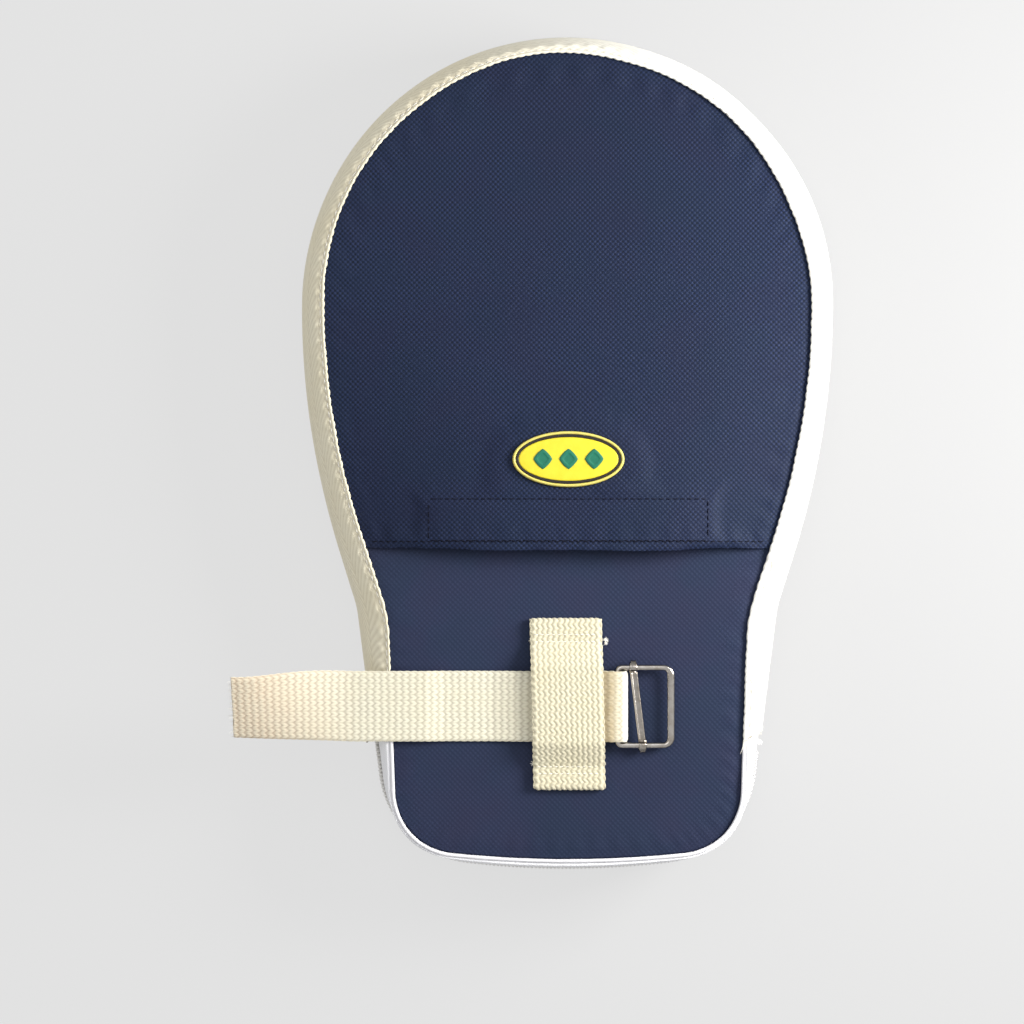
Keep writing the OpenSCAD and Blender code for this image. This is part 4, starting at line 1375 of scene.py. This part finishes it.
for nm, y, right, node in (("zipper_top_stop_metal", -138.2, False, "zipper_top_stop"),
                           ("zipper_bottom_stop_metal", -157.6, True, "zipper_bottom_stop")):
    parts = [rounded_box((-1.2, -0.8, -2.7), (0.3, 0.8, 2.7), 0.35),
             rounded_box((0.05, -0.5, -2.2), (0.42, 0.5, 2.2), 0.15)]
    finish_piece(merged(nm, parts, side_frame(y, right)), M_COIL if right else M_METAL2, "pad", "zipper_metal", node)

SLY = -144.6
parts = [rounded_box((0.3, -4.5, -4.2), (1.3, 4.5, 4.2), 0.45, 4)]
for s in (-1, 1):
    z0, z1 = (2.95, 4.25) if s > 0 else (-4.25, -2.95)
    parts.append(rounded_box((-1.55, -4.4, z0), (0.5, 4.4, z1), 0.4, 3))
parts.append(rounded_box((-4.2, -4.4, -4.2), (-3.3, 4.4, 4.2), 0.4, 4))
parts.append(rounded_box((-4.0, -4.4, -0.25), (0.6, -2.95, 0.25), 0.1, 2))
# bridge that holds the pull
br = [[1.1, -2.3, 0], [1.9, -2.25, 0], [2.75, -1.6, 0], [3.25, -0.6, 0], [3.3, 0.4, 0], [3.05, 1.3, 0], [2.3, 2.1, 0], [1.2, 2.4, 0]]
bp, _ = round_path(br, 0.35, 3)
rbz = tube_arrays(bp, 0.42, 10)
c0 = bp[:, None, :]
rbz = c0 + (rbz - c0) * np.array([0.75, 0.75, 2.0])
nu, nv = rbz.shape[:2]
parts.append((rbz.reshape(-1, 3), [list(f) for f in grid_faces(nu, nv, False, True)] +
              [[j for j in range(nv)][::-1], [(nu - 1) * nv + j for j in range(nv)]]))
finish_piece(merged("zipper_slider_metal", parts, side_frame(SLY, False)), M_METAL, "zip_slider", "zipper_metal", "zipper_slider")

# pull tab: pin, two cheeks and a plate with a hole
pl = 13.0
pa = [tube_part(np.array([[2.3, 0, z] for z in np.linspace(-2.25, 2.25, 8)]), 0.5, 14)]
for s in (-1, 1):
    z0, z1 = (1.25, 2.25) if s > 0 else (-2.25, -1.25)
    pa.append(rounded_box((1.82, -0.55, z0), (2.78, 4.2, z1), 0.3, 3))


def holed_plate(x0, x1, y0, y1, hz, hole_y, hole_r):
    n = 48
    a = np.linspace(0, 2 * np.pi, n, endpoint=False)
    inner = np.stack([hole_y + hole_r * np.cos(a), hole_r * np.sin(a)], 1)
    # superellipse outline of the tab seen from its face
    cy, hy = (y0 + y1) / 2, (y1 - y0) / 2
    outer = []
    for t, p in zip(a, inner):
        dxy = np.array([math.cos(t), math.sin(t)])
        lo_, hi_ = 0.0, 40.0
        for _ in range(40):
            m_ = (lo_ + hi_) / 2
            q = np.array([hole_y, 0]) + dxy * m_
            if (abs((q[0] - cy) / hy)) ** 5 + (abs(q[1] / hz)) ** 5 < 1:
                lo_ = m_
            else:
                hi_ = m_
        outer.append(np.array([hole_y, 0]) + dxy * lo_)
    outer = np.array(outer)
    prof = [(0.0, 0.0), (0.12, 0.5), (0.35, 0.9), (0.6, 1.0)]   # share of the bevel, height
    rings = []
    b = 0.28
    hx = (x1 - x0) / 2
    mx = (x0 + x1) / 2
    seq = []
    for w, hgt in ((0.0, 1 - 0.6), (0.4, 1 - 0.2), (1.0, 1.0)):
        seq.append(("o", w, hgt))
    for w, hgt in ((1.0, 1.0), (0.4, 1 - 0.2), (0.0, 1 - 0.6)):
        seq.append(("i", w, hgt))
    up = []
    for kind, w, hgt in seq:
        base = outer if kind == "o" else inner
        mid = outer.mean(0) if kind == "o" else None
        if kind == "o":
            dv = np.array([hole_y, 0]) - base
            dv /= np.linalg.norm(dv, axis=1)[:, None]
            p = base + dv * b * w
        else:
            dv = base - np.array([hole_y, 0])
            dv /= np.linalg.norm(dv, axis=1)[:, None]
            p = base + dv * b * w
        up.append(np.column_stack([np.full(n, mx + hx * hgt), p[:, 0], p[:, 1]]))
    dn = [np.column_stack([2 * mx - r[:, 0], r[:, 1], r[:, 2]]) for r in up[::-1]]
    allr = np.stack(up + dn, 0)
    nr = allr.shape[0]
    return allr.reshape(-1, 3), [list(f) for f in grid_faces(nr, n, True, True)]


pa.append(holed_plate(1.85, 2.75, 3.2, pl, 2.25, pl - 3.0, 1.1))
finish_piece(merged("zipper_pull_metal", pa, side_frame(SLY, False)), M_METAL2, "zip_pull", "zipper_metal", "zipper_pull")


# ---------------------------------------------------------------- woven webbing
def web_relief(u, v, rows_n, width, pitch, lean=0.5, seed=0):
    """Chains of chevrons side by side: 0 in the valleys, 1 on the yarns. v runs 0..width."""
    p = width / rows_n
    c = np.floor(v / p)
    w = v / p - c - 0.5
    jit = 0.10 * noise2(u, c * 7.3, 6.0, 90 + seed)
    ph = u / pitch + lean * np.abs(w) * 2 * 0.5 + jit + 0.5 * np.mod(c, 2) * 0.0
    yarn = np.abs(np.sin(np.pi * ph)) ** 0.7
    col = np.clip(np.cos(np.pi * w * 1.0), 0, 1) ** 0.45          # valley between the chains
    mid = 1 - 0.35 * np.exp(-(w / 0.10) ** 2)                      # line down the middle of a chain
    return np.clip(yarn * (0.35 + 0.65 * col) * mid, 0, 1)


def zigzag_relief(u, v, col, amp_v, pitch, seed):
    """Ribs that swing from side to side along the band, each made of short floats."""
    t = u / pitch + 0.10 * noise2(u, v, 5, 190 + seed)
    tri = 2 * np.abs(2 * (t - np.floor(t + 0.5))) - 1
    vv = v + amp_v * (1 + 0.35 * noise2(u, v, 9, 193 + seed)) * tri + 0.20 * noise2(u, v, 4, 191 + seed)
    rib = np.abs(np.sin(np.pi * vv / col)) ** 0.75
    c = np.floor(vv / col)
    beat = 0.5 + 0.5 * np.cos(2 * np.pi * (2 * t + 0.5 * np.mod(c, 2)))
    return np.clip(rib * (0.66 + 0.34 * beat), 0, 1)


def webbing(name, path, width, t, rows_n, pitch, across, amp=0.24, du=0.31, dv=0.27, seed=0, lean=1.0, edge_amp=0.12,
            back_full=True, zig=False):
    """Flat woven band. path: centreline (n, 3); across: unit vector of its width."""
    p, s = resample(path, du)
    tan = np.gradient(p, axis=0)
    tan /= np.linalg.norm(tan, axis=1)[:, None]
    across = np.asarray(across, float)
    nrm = np.cross(tan, across)
    nrm /= np.linalg.norm(nrm, axis=1)[:, None]
    k = len(p)
    nt = int(width / dv)
    v = np.linspace(0, width, nt)
    er = t / 2
    # perimeter: top (v), right edge, bottom (v back), left edge
    ea = np.linspace(0, np.pi, 6)[1:-1]
    vb = v if back_full else np.linspace(0, width, max(8, nt // 4))
    rr = np.concatenate([
        np.stack([v - width / 2, np.full(nt, er), v, np.ones(nt)], 1),
        np.stack([width / 2 + er * 0.55 * np.sin(ea), er * np.cos(ea), np.full(4, width), 0 * ea + 0.4], 1),
        np.stack([vb[::-1] - width / 2, np.full(len(vb), -er), vb[::-1], np.ones(len(vb)) if back_full else np.zeros(len(vb))], 1),
        np.stack([-width / 2 - er * 0.55 * np.sin(ea), -er * np.cos(ea), np.zeros(4), 0 * ea + 0.4], 1)], 0)
    m = len(rr)
    U2 = s[:, None] * np.ones((1, m))
    V2 = rr[None, :, 2] * np.ones((k, 1))
    if zig:
        h = zigzag_relief(U2, V2, width / rows_n, 0.46, pitch, seed)
    else:
        h = web_relief(U2, V2 * 0.9999 + 1e-4, rows_n, width, pitch, lean, seed)
    h = np.where(rr[None, :, 3] > 0.9, h, 0.5 + 0.4 * np.abs(np.sin(np.pi * U2 / pitch * 1.0)))
    sgn = np.sign(rr[:, 1])[None, :]
    edge_round = np.clip(1 - ((np.abs(rr[:, 0]) - (width / 2 - 1.2)) / 1.2).clip(0, 1) ** 2 * 0.35, 0, 1)
    nz = rr[None, :, 1] * edge_round[None, :] - sgn * amp * (1 - h) * (rr[None, :, 3] > 0)
    nz = nz + 0.06 * noise2(U2, V2, 14, 17 + seed)
    sc = edge_amp * np.abs(np.sin(np.pi * U2 / pitch)) * smooth((np.abs(rr[None, :, 0]) - width / 2 + 1.0) / 1.0)
    ac = rr[None, :, 0] - np.sign(rr[None, :, 0]) * (0.42 * er + edge_amp) * (np.abs(rr[None, :, 0]) > width / 2 - 0.01) * 1.0
    ac = rr[None, :, 0] * (width - 2 * (0.55 * er + edge_amp)) / width + np.sign(rr[None, :, 0]) * sc
    pts = p[:, None, :] + ac[..., None] * across[None, None, :] + nz[..., None] * nrm[:, None, :]
    uv = np.stack([U2, np.cumsum(np.concatenate([[0], np.hypot(np.diff(rr[:, 0]), np.diff(rr[:, 1]))]))[None, :] * np.ones((k, 1))], -1)
    return pts, uv, h, s, rr


# strap: short leg, round the buckle bar, over the panel and out past the side
S0, TH = BACK + 0.3, 1.4
FX, FZ = 18.6, 41.2
zc = S0 + TH / 2
side_path = [(-118, zc + 1), (-50, zc + 1), (-44, zc), (-27, zc), (-15, zc + 1.55), (8, zc + 1.55), (15.3, FZ + 2.0), (FX, FZ + 2.0)]
a_ = np.linspace(90, -90, 25)
side_path += [(FX + 2.0 * math.cos(math.radians(a)), FZ + 2.0 * math.sin(math.radians(a))) for a in a_[1:]]
side_path += [(-9.9, zc)]
sp, _ = resample(np.array([(x, STRAP_Y, z) for x, z in side_path]), 0.3)
for _i in range(10):
    q = sp.copy()
    q[1:-1] = 0.25 * sp[:-2] + 0.5 * sp[1:-1] + 0.25 * sp[2:]
    sp = q
WEBW = 25.0
pts, uv, h, s_, rr = webbing("s", sp, WEBW, 1.3, 12, 2.5, (0, 1, 0), amp=0.26, seed=1)
# the free tail turns about its near edge and lifts slightly as it leaves the pad
X = pts[..., 0]
tail_lim = s_[:, None] < (118 - 53)
uq = np.clip((-76 - X) / (-76 + 118), 0, 1) * tail_lim
al = np.radians(28) * smooth(uq)
py = pts[..., 1] - (STRAP_Y - WEBW / 2)
pz = pts[..., 2] - (S0 + 1)
ny_ = STRAP_Y - WEBW / 2 + 1.8 * uq + py * np.cos(al) - pz * np.sin(al)
nz_ = S0 + 1 + py * np.sin(al) + pz * np.cos(al)
pts[..., 1] = np.where(tail_lim, ny_, pts[..., 1])
pts[..., 2] = np.where(tail_lim, nz_, pts[..., 2])
# cut end
r_ = np.random.default_rng(5)
pts[0, :, 0] += 0.35 * noise1(np.arange(len(rr)) * 0.27, 0.6, 5) + 0.4
strap = ring_sweep("wrist_strap_webbing", pts, uv)
relief_attr(strap, np.clip(h, 0, 1).ravel())
# the strap gets painted shade at its free end and near the keeper, and a painted highlight at the buckle fold
M_STRAP = cream_web("strap_webbing", (245, 242, 222), True)
finish_piece(strap, M_STRAP, None, "webbing", "wrist_strap", "strap_tail")
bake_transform(strap)

# fuzz at the cut end of the tail
fz = []
base = pts[0]
for q in range(34):
    j = int(r_.integers(0, len(rr)))
    p0 = base[j]
    tt = np.linspace(0, 1, 5)
    L = r_.uniform(0.4, 1.5)
    d_ = np.array([-1.0, r_.uniform(-0.5, 0.5), r_.uniform(-0.4, 0.4)])
    d_ /= np.linalg.norm(d_)
    fz.append(p0[None, :] + (L * tt)[:, None] * d_[None, :] + np.array([0.4, 0, 0]) * (1 - tt)[:, None]
              + (tt ** 2)[:, None] * r_.uniform(-0.4, 0.4, 3)[None, :])
fzo = tubes("strap_end_fibres", fz, 0.07, 4)
finish_piece(fzo, M_THREAD, "tail", "thread_pale")

# stitches that hold the short leg down on the panel, under the keeper
rows = []
for dy in (-9.5, 9.5):
    rows += stitch_row(np.array([(-9.0, STRAP_Y + dy, S0 + TH - 0.02), (9.0, STRAP_Y + dy, S0 + TH - 0.02)]), 2.6, 0.5, 0.12, 0.2, 0.16, seed=3)
st = tubes("strap_anchor_stitching", rows, 0.15, 5)
finish_piece(st, M_THREAD, "strap", "thread_pale")

# keeper: a short band folded under at both ends and sewn down, with the strap passing through
K0 = BACK + 0.05
half = [(17.9, 0.72), (29.2, 0.72)]
half += [(29.2 + 0.78 * math.sin(math.radians(a)), 1.5 - 0.78 * math.cos(math.radians(a))) for a in (30, 60, 90, 120, 150)]
half += [(29.2, 2.28), (21.9, 2.28), (13.7, 5.95), (7, 6.12), (0, 6.2)]
kp = [(y, z) for y, z in half] + [(-y, z) for y, z in half[::-1][1:]]
kpath, _ = resample(np.array([(-0.2, KEEP_Y + y, K0 + z) for y, z in kp]), 0.3)
for _i in range(5):
    q = kpath.copy()
    q[1:-1] = 0.25 * kpath[:-2] + 0.5 * kpath[1:-1] + 0.25 * kpath[2:]
    kpath = q
kpath[:, 0] += 0.9 * (-(kpath[:, 1] - KEEP_Y) / 30.0) * 0.75
pts, uv, h, s_, rr = webbing("k", kpath, 25.7, 1.35, 13, 2.65, (1, 0, 0), amp=0.36, seed=2, edge_amp=0.30, zig=True, du=0.27, dv=0.21)
keeper = ring_sweep("strap_keeper_webbing", pts, uv)
relief_attr(keeper, np.clip(h, 0, 1).ravel())
fix_normals(keeper)
M_KEEP = cream_web("keeper_webbing", (230, 224, 196), False, 0.8)
finish_piece(keeper, M_KEEP, "pad", "webbing", "strap_keeper")

rows = []
KT = K0 + 2.28 + 0.66
for s in (-1, 1):
    for r0 in (22.0, 24.5):
        y = KEEP_Y + s * r0
        sh = 0.9 * (-(y - KEEP_Y) / 30.0) * 0.75 - 0.2
        rows += stitch_row(np.array([(-11.9 + sh, y, KT - 0.12), (11.9 + sh, y, KT - 0.12)]), 2.0, 0.6, 0.12, 0.25, 0.16, seed=int(r0 * 3 + s))
# tufts of cut thread at the ends of the stitching
tufts = []
r_ = np.random.default_rng(44)
for (x, y, ang_, L, cnt) in ((-12.9, -120.2, 175, 1.5, 9), (13.1, -120.0, 330, 2.3, 14), (13.3, -121.2, 300, 1.6, 9), (-12.4, -163.6, 165, 1.6, 5),
                             (-8.6, -172.6, 250, 1.3, 4), (12.9, -164.3, 350, 0.9, 3)):
    for q in range(cnt):
        a0 = math.radians(ang_ + r_.uniform(-55, 55))
        tt = np.linspace(0, 1, 7)
        Lq = L * r_.uniform(0.5, 1.0)
        cb = r_.uniform(-1.1, 1.1)
        xy = np.stack([x + (Lq * tt - 0.7) * math.cos(a0) + cb * tt ** 2 * math.sin(a0),
                       y + (Lq * tt - 0.7) * math.sin(a0) - cb * tt ** 2 * math.cos(a0)], 1)
        tufts.append(np.column_stack([xy, K0 + 1.9 + r_.uniform(-0.3, 0.3) - 0.5 * tt]))
kth = tubes("keeper_stitching", rows, 0.16, 5)
finish_piece(kth, M_THREAD, "pad", "thread_pale", "keeper_thread")
ktf = tubes("keeper_tufts", tufts, 0.11, 5)
finish_piece(ktf, M_THREAD, "pad", "thread_pale")

# ---------------------------------------------------------------- buckle
BX0, BX1, BY, CR = 17.3, 36.2, 13.7, 1.8


def rect_wire():
    pts_ = []
    RC = 2.7                                  # the free corners are bent more gently
    for cx, cy, a0, c_ in ((BX1 - RC, BY - RC, 0, RC), (BX0 + CR, BY - CR, 90, CR), (BX0 + CR, -BY + CR, 180, CR), (BX1 - RC, -BY + RC, 270, RC)):
        for a in np.linspace(a0, a0 + 90, 14):
            pts_.append((cx + c_ * math.cos(math.radians(a)), STRAP_Y + cy + c_ * math.sin(math.radians(a)), FZ))
    pts_.append(pts_[0])
    p, s = resample(np.array(pts_), 0.45)
    return p[:-1], s[:-1]


wp, ws = rect_wire()
wr = 1.06 + 0.012 * noise1(ws, 6, 71)
pts = tube_arrays(wp, wr, 24, True)
# the cross bar is pressed a little flat, so it is wider from above
flat_ = smooth((wp[:, 0] - 33.0) / 3.0)[:, None]
off_ = pts - wp[:, None, :]
off_[..., 0] *= 1 + 0.24 * flat_
off_[..., 2] *= 1 - 0.12 * flat_
pts = wp[:, None, :] + off_
nu, nv = pts.shape[:2]
wire = (pts.reshape(-1, 3), [list(f) for f in grid_faces(nu, nv, True, True)])
# butt weld where the wire ends meet, inside the strap's fold
wy = STRAP_Y + 2.0
wl = tube_part(np.array([[BX0, wy + t, FZ] for t in np.linspace(-0.8, 0.8, 9)]), 1.06 + 0.10 * np.cos(np.linspace(-1.5, 1.5, 9)), 18)
finish_piece(merged("buckle_frame_wire", [wire, wl]), M_METAL, "buckle", "buckle_metal", "buckle_frame")

# slide bar: a folded strip with two raised beads, curled round both rails
BARX, LEAN = 24.55, 3.3
prof = []
for x_ in np.linspace(-1.36, 1.36, 25):
    bead = 0.22 * math.exp(-((abs(x_) - 0.92) / 0.30) ** 2)
    edge_ = 0.25 * max(0, (abs(x_) - 1.1) / 0.26) ** 2
    prof.append((x_, 0.36 + bead - edge_))
prof += [(-x_, -(z_) + 0.12) for x_, z_ in prof]
prof = np.array(prof)
yy = np.linspace(-BY + 1.6, BY - 1.6, 46)
lean = math.atan2(LEAN, 2 * BY)
pts = []
for y_ in yy:
    bow = 0.10 * math.sin(math.pi * (y_ + BY) / (2 * BY))
    pts.append([[BARX - LEAN * y_ / (2 * BY) + px * math.cos(lean), STRAP_Y + y_ + px * math.sin(lean), FZ + pz + bow * 0] for px, pz in prof])
pts = np.array(pts)
nu, nv = pts.shape[:2]
bar_part = (pts.reshape(-1, 3), [list(f) for f in grid_faces(nu, nv, False, True)] +
            [[j for j in range(nv)][::-1], [(nu - 1) * nv + j for j in range(nv)]])
curls = []
for s in (-1, 1):
    cx = BARX - s * LEAN / 2
    ang = np.linspace(-200, 118, 40) if s > 0 else np.linspace(-200, 118, 40)
    ring = []
    for a in ang:
        # strip wrapped round the rail, seen in the y-z plane
        ca, sa = math.cos(math.radians(a)), math.sin(math.radians(a))
        row = []
        for px, rr_ in ((-1.35, 1.22), (-1.38, 1.5), (-1.2, 1.84), (-0.92, 1.92), (-0.5, 1.84), (0, 1.8), (0.5, 1.84), (0.92, 1.92),
                        (1.2, 1.84), (1.38, 1.5), (1.35, 1.22), (0, 1.2)):
            tip = 0.75 * math.exp(-(a / 30.0) ** 2) if rr_ > 1.4 else 0.0
            row.append([cx + px * (1 - 0.25 * (tip > 0.3)), STRAP_Y + s * (BY + (rr_ + tip) * ca), FZ + rr_ * sa])
        ring.append(row)
    ring = np.array(ring)
    nu, nv = ring.shape[:2]
    curls.append((ring.reshape(-1, 3), [list(f) for f in grid_faces(nu, nv, False, True)] +
                  [[j for j in range(nv)][::-1], [(nu - 1) * nv + j for j in range(nv)]]))
finish_piece(merged("buckle_slide_bar_strip", [bar_part] + curls), M_METAL2, "slide_bar", "buckle_metal", "buckle_slide_bar")

# ---------------------------------------------------------------- badge
BCZ = None


def on_cloth(x, yl, h):
    """Badge coordinates (x, yl from its centre, h above the cloth) to the body frame."""
    tilt = math.atan(8 / 108.2)
    x, yl, h = np.asarray(x, float), np.asarray(yl, float), np.asarray(h, float)
    Y = BADGE_Y + yl * math.cos(tilt)
    zc = pocket_surf(x.ravel(), Y.ravel()).reshape(x.shape)
    zf = _bz0 + (yl * -math.sin(tilt))
    z = 0.25 * zc + 0.75 * zf
    return np.stack([x, Y + h * math.sin(tilt), z + h * math.cos(tilt)], -1)


_bz0 = float(pocket_surf(np.array([0.0]), np.array([BADGE_Y]))[0])


def oval_rings(rows_, n=180):
    """rows_: list of (inset from the outer edge, height); negative inset grows past it."""
    a = np.linspace(0, 2 * np.pi, n, endpoint=False)
    out = []
    for k_, h_ in rows_:
        x = (BADGE_L / 2 - k_) * np.cos(a)
        y = (BADGE_H / 2 - k_) * np.sin(a)
        out.append(on_cloth(x, y, np.full(n, h_)))
    return np.array(out)


def oval_solid(name, rows_, disc_top=None, disc_bot=None, n=180):
    R = oval_rings(rows_, n)
    nr = R.shape[0]
    v = list(R.reshape(-1, 3))
    f = [list(q) for q in grid_faces(nr, n, disc_top is None and disc_bot is None, True)]
    if disc_top is not None:
        # rings shrinking to the middle, so that the dome keeps its shape
        def fan(last_row, k0_, h0, hc, flip):
            prev = last_row
            off0 = len(v)
            steps = 9
            a = np.linspace(0, 2 * np.pi, n, endpoint=False)
            for j in range(1, steps):
                t_ = 1 - j / steps
                x = (BADGE_L / 2 - k0_) * t_ * np.cos(a)
                y = (BADGE_H / 2 - k0_) * t_ * np.sin(a)
                hh_ = hc + (h0 - hc) * t_ ** 2
                v.extend(on_cloth(x, y, np.full(n, hh_)))
                base_ = len(v) - n
                for i in range(n):
                    q = [prev + i, prev + (i + 1) % n, base_ + (i + 1) % n, base_ + i]
                    f.append(q[::-1] if flip else q)
                prev = base_
            v.extend(on_cloth(np.array([0.0]), np.array([0.0]), np.array([hc])))
            c_ = len(v) - 1
            for i in range(n):
                q = [prev + i, prev + (i + 1) % n, c_]
                f.append(q[::-1] if flip else q)
        fan((nr - 1) * n, rows_[-1][0], rows_[-1][1], disc_top, False)
        fan(0, rows_[0][0], rows_[0][1], disc_bot, True)
    ob = new_mesh(name, np.array(v), f)
    return fix_normals(ob)


# the rim is a yellow moulding; its paler cream colour is a painted highlight
M_RIM = pvc("badge_rim_pvc", (228, 219, 132), (214, 196, 84), 0.26)
M_BLK = pvc("badge_black_pvc", (34, 26, 16), (20, 14, 8), 0.35)
M_YEL = pvc("badge_yellow_pvc", (232, 217, 54), (222, 200, 28), 0.36)
M_GRN = pvc("badge_green_pvc", (0, 118, 88), (0, 96, 76), 0.4)
rim = oval_solid("badge_rim_moulding", [(1.95, 0.30), (1.06, 0.42), (1.06, 1.05), (0.94, 1.36), (0.62, 1.5), (0.32, 1.42), (0.09, 1.05),
                                         (0.0, 0.55), (0.12, 0.08), (0.4, 0.0)][::-1], 0.30, 0.0)
finish_piece(rim, M_RIM, "pad", "badge_rim", "badge_base")
ring = oval_solid("badge_ring_moulding", [(1.10, 0.70), (1.10, 1.00), (1.28, 1.08), (1.95, 1.08), (2.14, 1.00), (2.14, 0.70)])
finish_piece(ring, M_BLK, "pad", "badge_black", "badge_ring")
fld = oval_solid("badge_field_moulding", [(2.6, 0.74), (2.2, 0.76), (2.18, 1.02), (2.35, 1.14), (2.8, 1.18)], 1.24, 0.72)
finish_piece(fld, M_YEL, "pad", "badge_yellow", "badge_field")


def diamond_part(cx, rx, ry):
    n = 64
    a = np.linspace(0, 2 * np.pi, n, endpoint=False)
    ca, sa = np.cos(a), np.sin(a)
    e = 1.25
    bx = rx * np.sign(ca) * np.abs(ca) ** (2 / e)
    by = ry * np.sign(sa) * np.abs(sa) ** (2 / e)
    rows_ = [(0.96, 1.20), (1.0, 1.30), (0.97, 1.46), (0.88, 1.56), (0.70, 1.60), (0.60, 1.585), (0.54, 1.50), (0.50, 1.47), (0.25, 1.50)]
    v = []
    for sc_, hh_ in rows_:
        v.extend(on_cloth(cx + bx * sc_, by * sc_, np.full(n, hh_)))
    nr = len(rows_)
    v.extend(on_cloth(np.array([cx]), np.array([0.0]), np.array([1.51])))
    f = [list(q) for q in grid_faces(nr, n, False, True)]
    c_ = len(v) - 1
    f += [[(nr - 1) * n + i, (nr - 1) * n + (i + 1) % n, c_] for i in range(n)]
    f.append(list(range(n))[::-1])
    return np.array(v), f


marks = merged("badge_mark_moulding", [diamond_part(x, 3.3, 3.6) for x in (-9, 0, 9)])
finish_piece(marks, M_GRN, "pad", "badge_green", "badge_mark")
# thread that sews the badge down
a = np.linspace(0, 2 * np.pi, 500)
bpth = on_cloth((BADGE_L / 2 + 0.12) * np.cos(a), (BADGE_H / 2 + 0.12) * np.sin(a), np.full(500, 0.02))
bst = tubes("badge_stitching", stitch_row(bpth, 2.0, 0.5, 0.12, 0.12, 0.12, seed=12, n=6), 0.13, 5)
finish_piece(bst, M_DTHREAD, "pad", "thread_dark")

# ---------------------------------------------------------------- stage
fm = Mat("floor_paper")
vec, x, y, z = fm.pos()
nn = fm.noise(vec, 0.004, 2)
fc = fm.mix(nn, (0.085, 0.085, 0.085), (0.095, 0.095, 0.095))
fm.done(fc, 0.9, None, Specular_IOR_Level=0.0)
fm.bsdf.inputs["Emission Color"].default_value = (1, 1, 1, 1)
fm.bsdf.inputs["Emission Strength"].default_value = 0.675
fl = new_mesh("floor", [(-3000, -3000, -0.3), (3000, -3000, -0.3), (3000, 3000, -0.3), (-3000, 3000, -0.3)], [[0, 1, 2, 3]], None, False)
fl.data.materials.append(fm.m)

world = bpy.data.worlds.new("studio")
scene.world = world
world.use_nodes = True
nt = world.node_tree
bg = nt.nodes["Background"]
tc = nt.nodes.new("ShaderNodeTexCoord")
sx = nt.nodes.new("ShaderNodeSeparateXYZ")
nt.links.new(tc.outputs["Generated"], sx.inputs[0])
rp = nt.nodes.new("ShaderNodeValToRGB")
rp.color_ramp.elements[0].position = 0.0
rp.color_ramp.elements[0].color = (0.22, 0.23, 0.25, 1)
rp.color_ramp.elements[1].position = 0.55
rp.color_ramp.elements[1].color = (1, 1, 1, 1)
nt.links.new(sx.outputs[2], rp.inputs[0])
nt.links.new(rp.outputs[0], bg.inputs[0])
bg.inputs[1].default_value = 0.62


def area(name, loc, aim_at, size, power, color=(1, 1, 1)):
    l = bpy.data.lights.new(name, "AREA")
    l.shape = "SQUARE"
    l.size = size
    l.energy = power
    l.color = color
    o = bpy.data.objects.new(name, l)
    scene.collection.objects.link(o)
    o.location = loc
    o.rotation_mode = "QUATERNION"
    o.rotation_quaternion = (Vector(aim_at) - Vector(loc)).to_track_quat("-Z", "Y")
    return o


area("key", (0.37, 0.02, 0.255), (0.03, -0.05, 0.03), 0.19, 3.3, (1.0, 0.99, 0.97))
area("fill", (-0.3, 0.6, 1.4), (0, -0.04, 0.02), 1.0, 4.0, (0.97, 0.98, 1.0))
scene.view_settings.view_transform = "Standard"
scene.view_settings.look = "None"
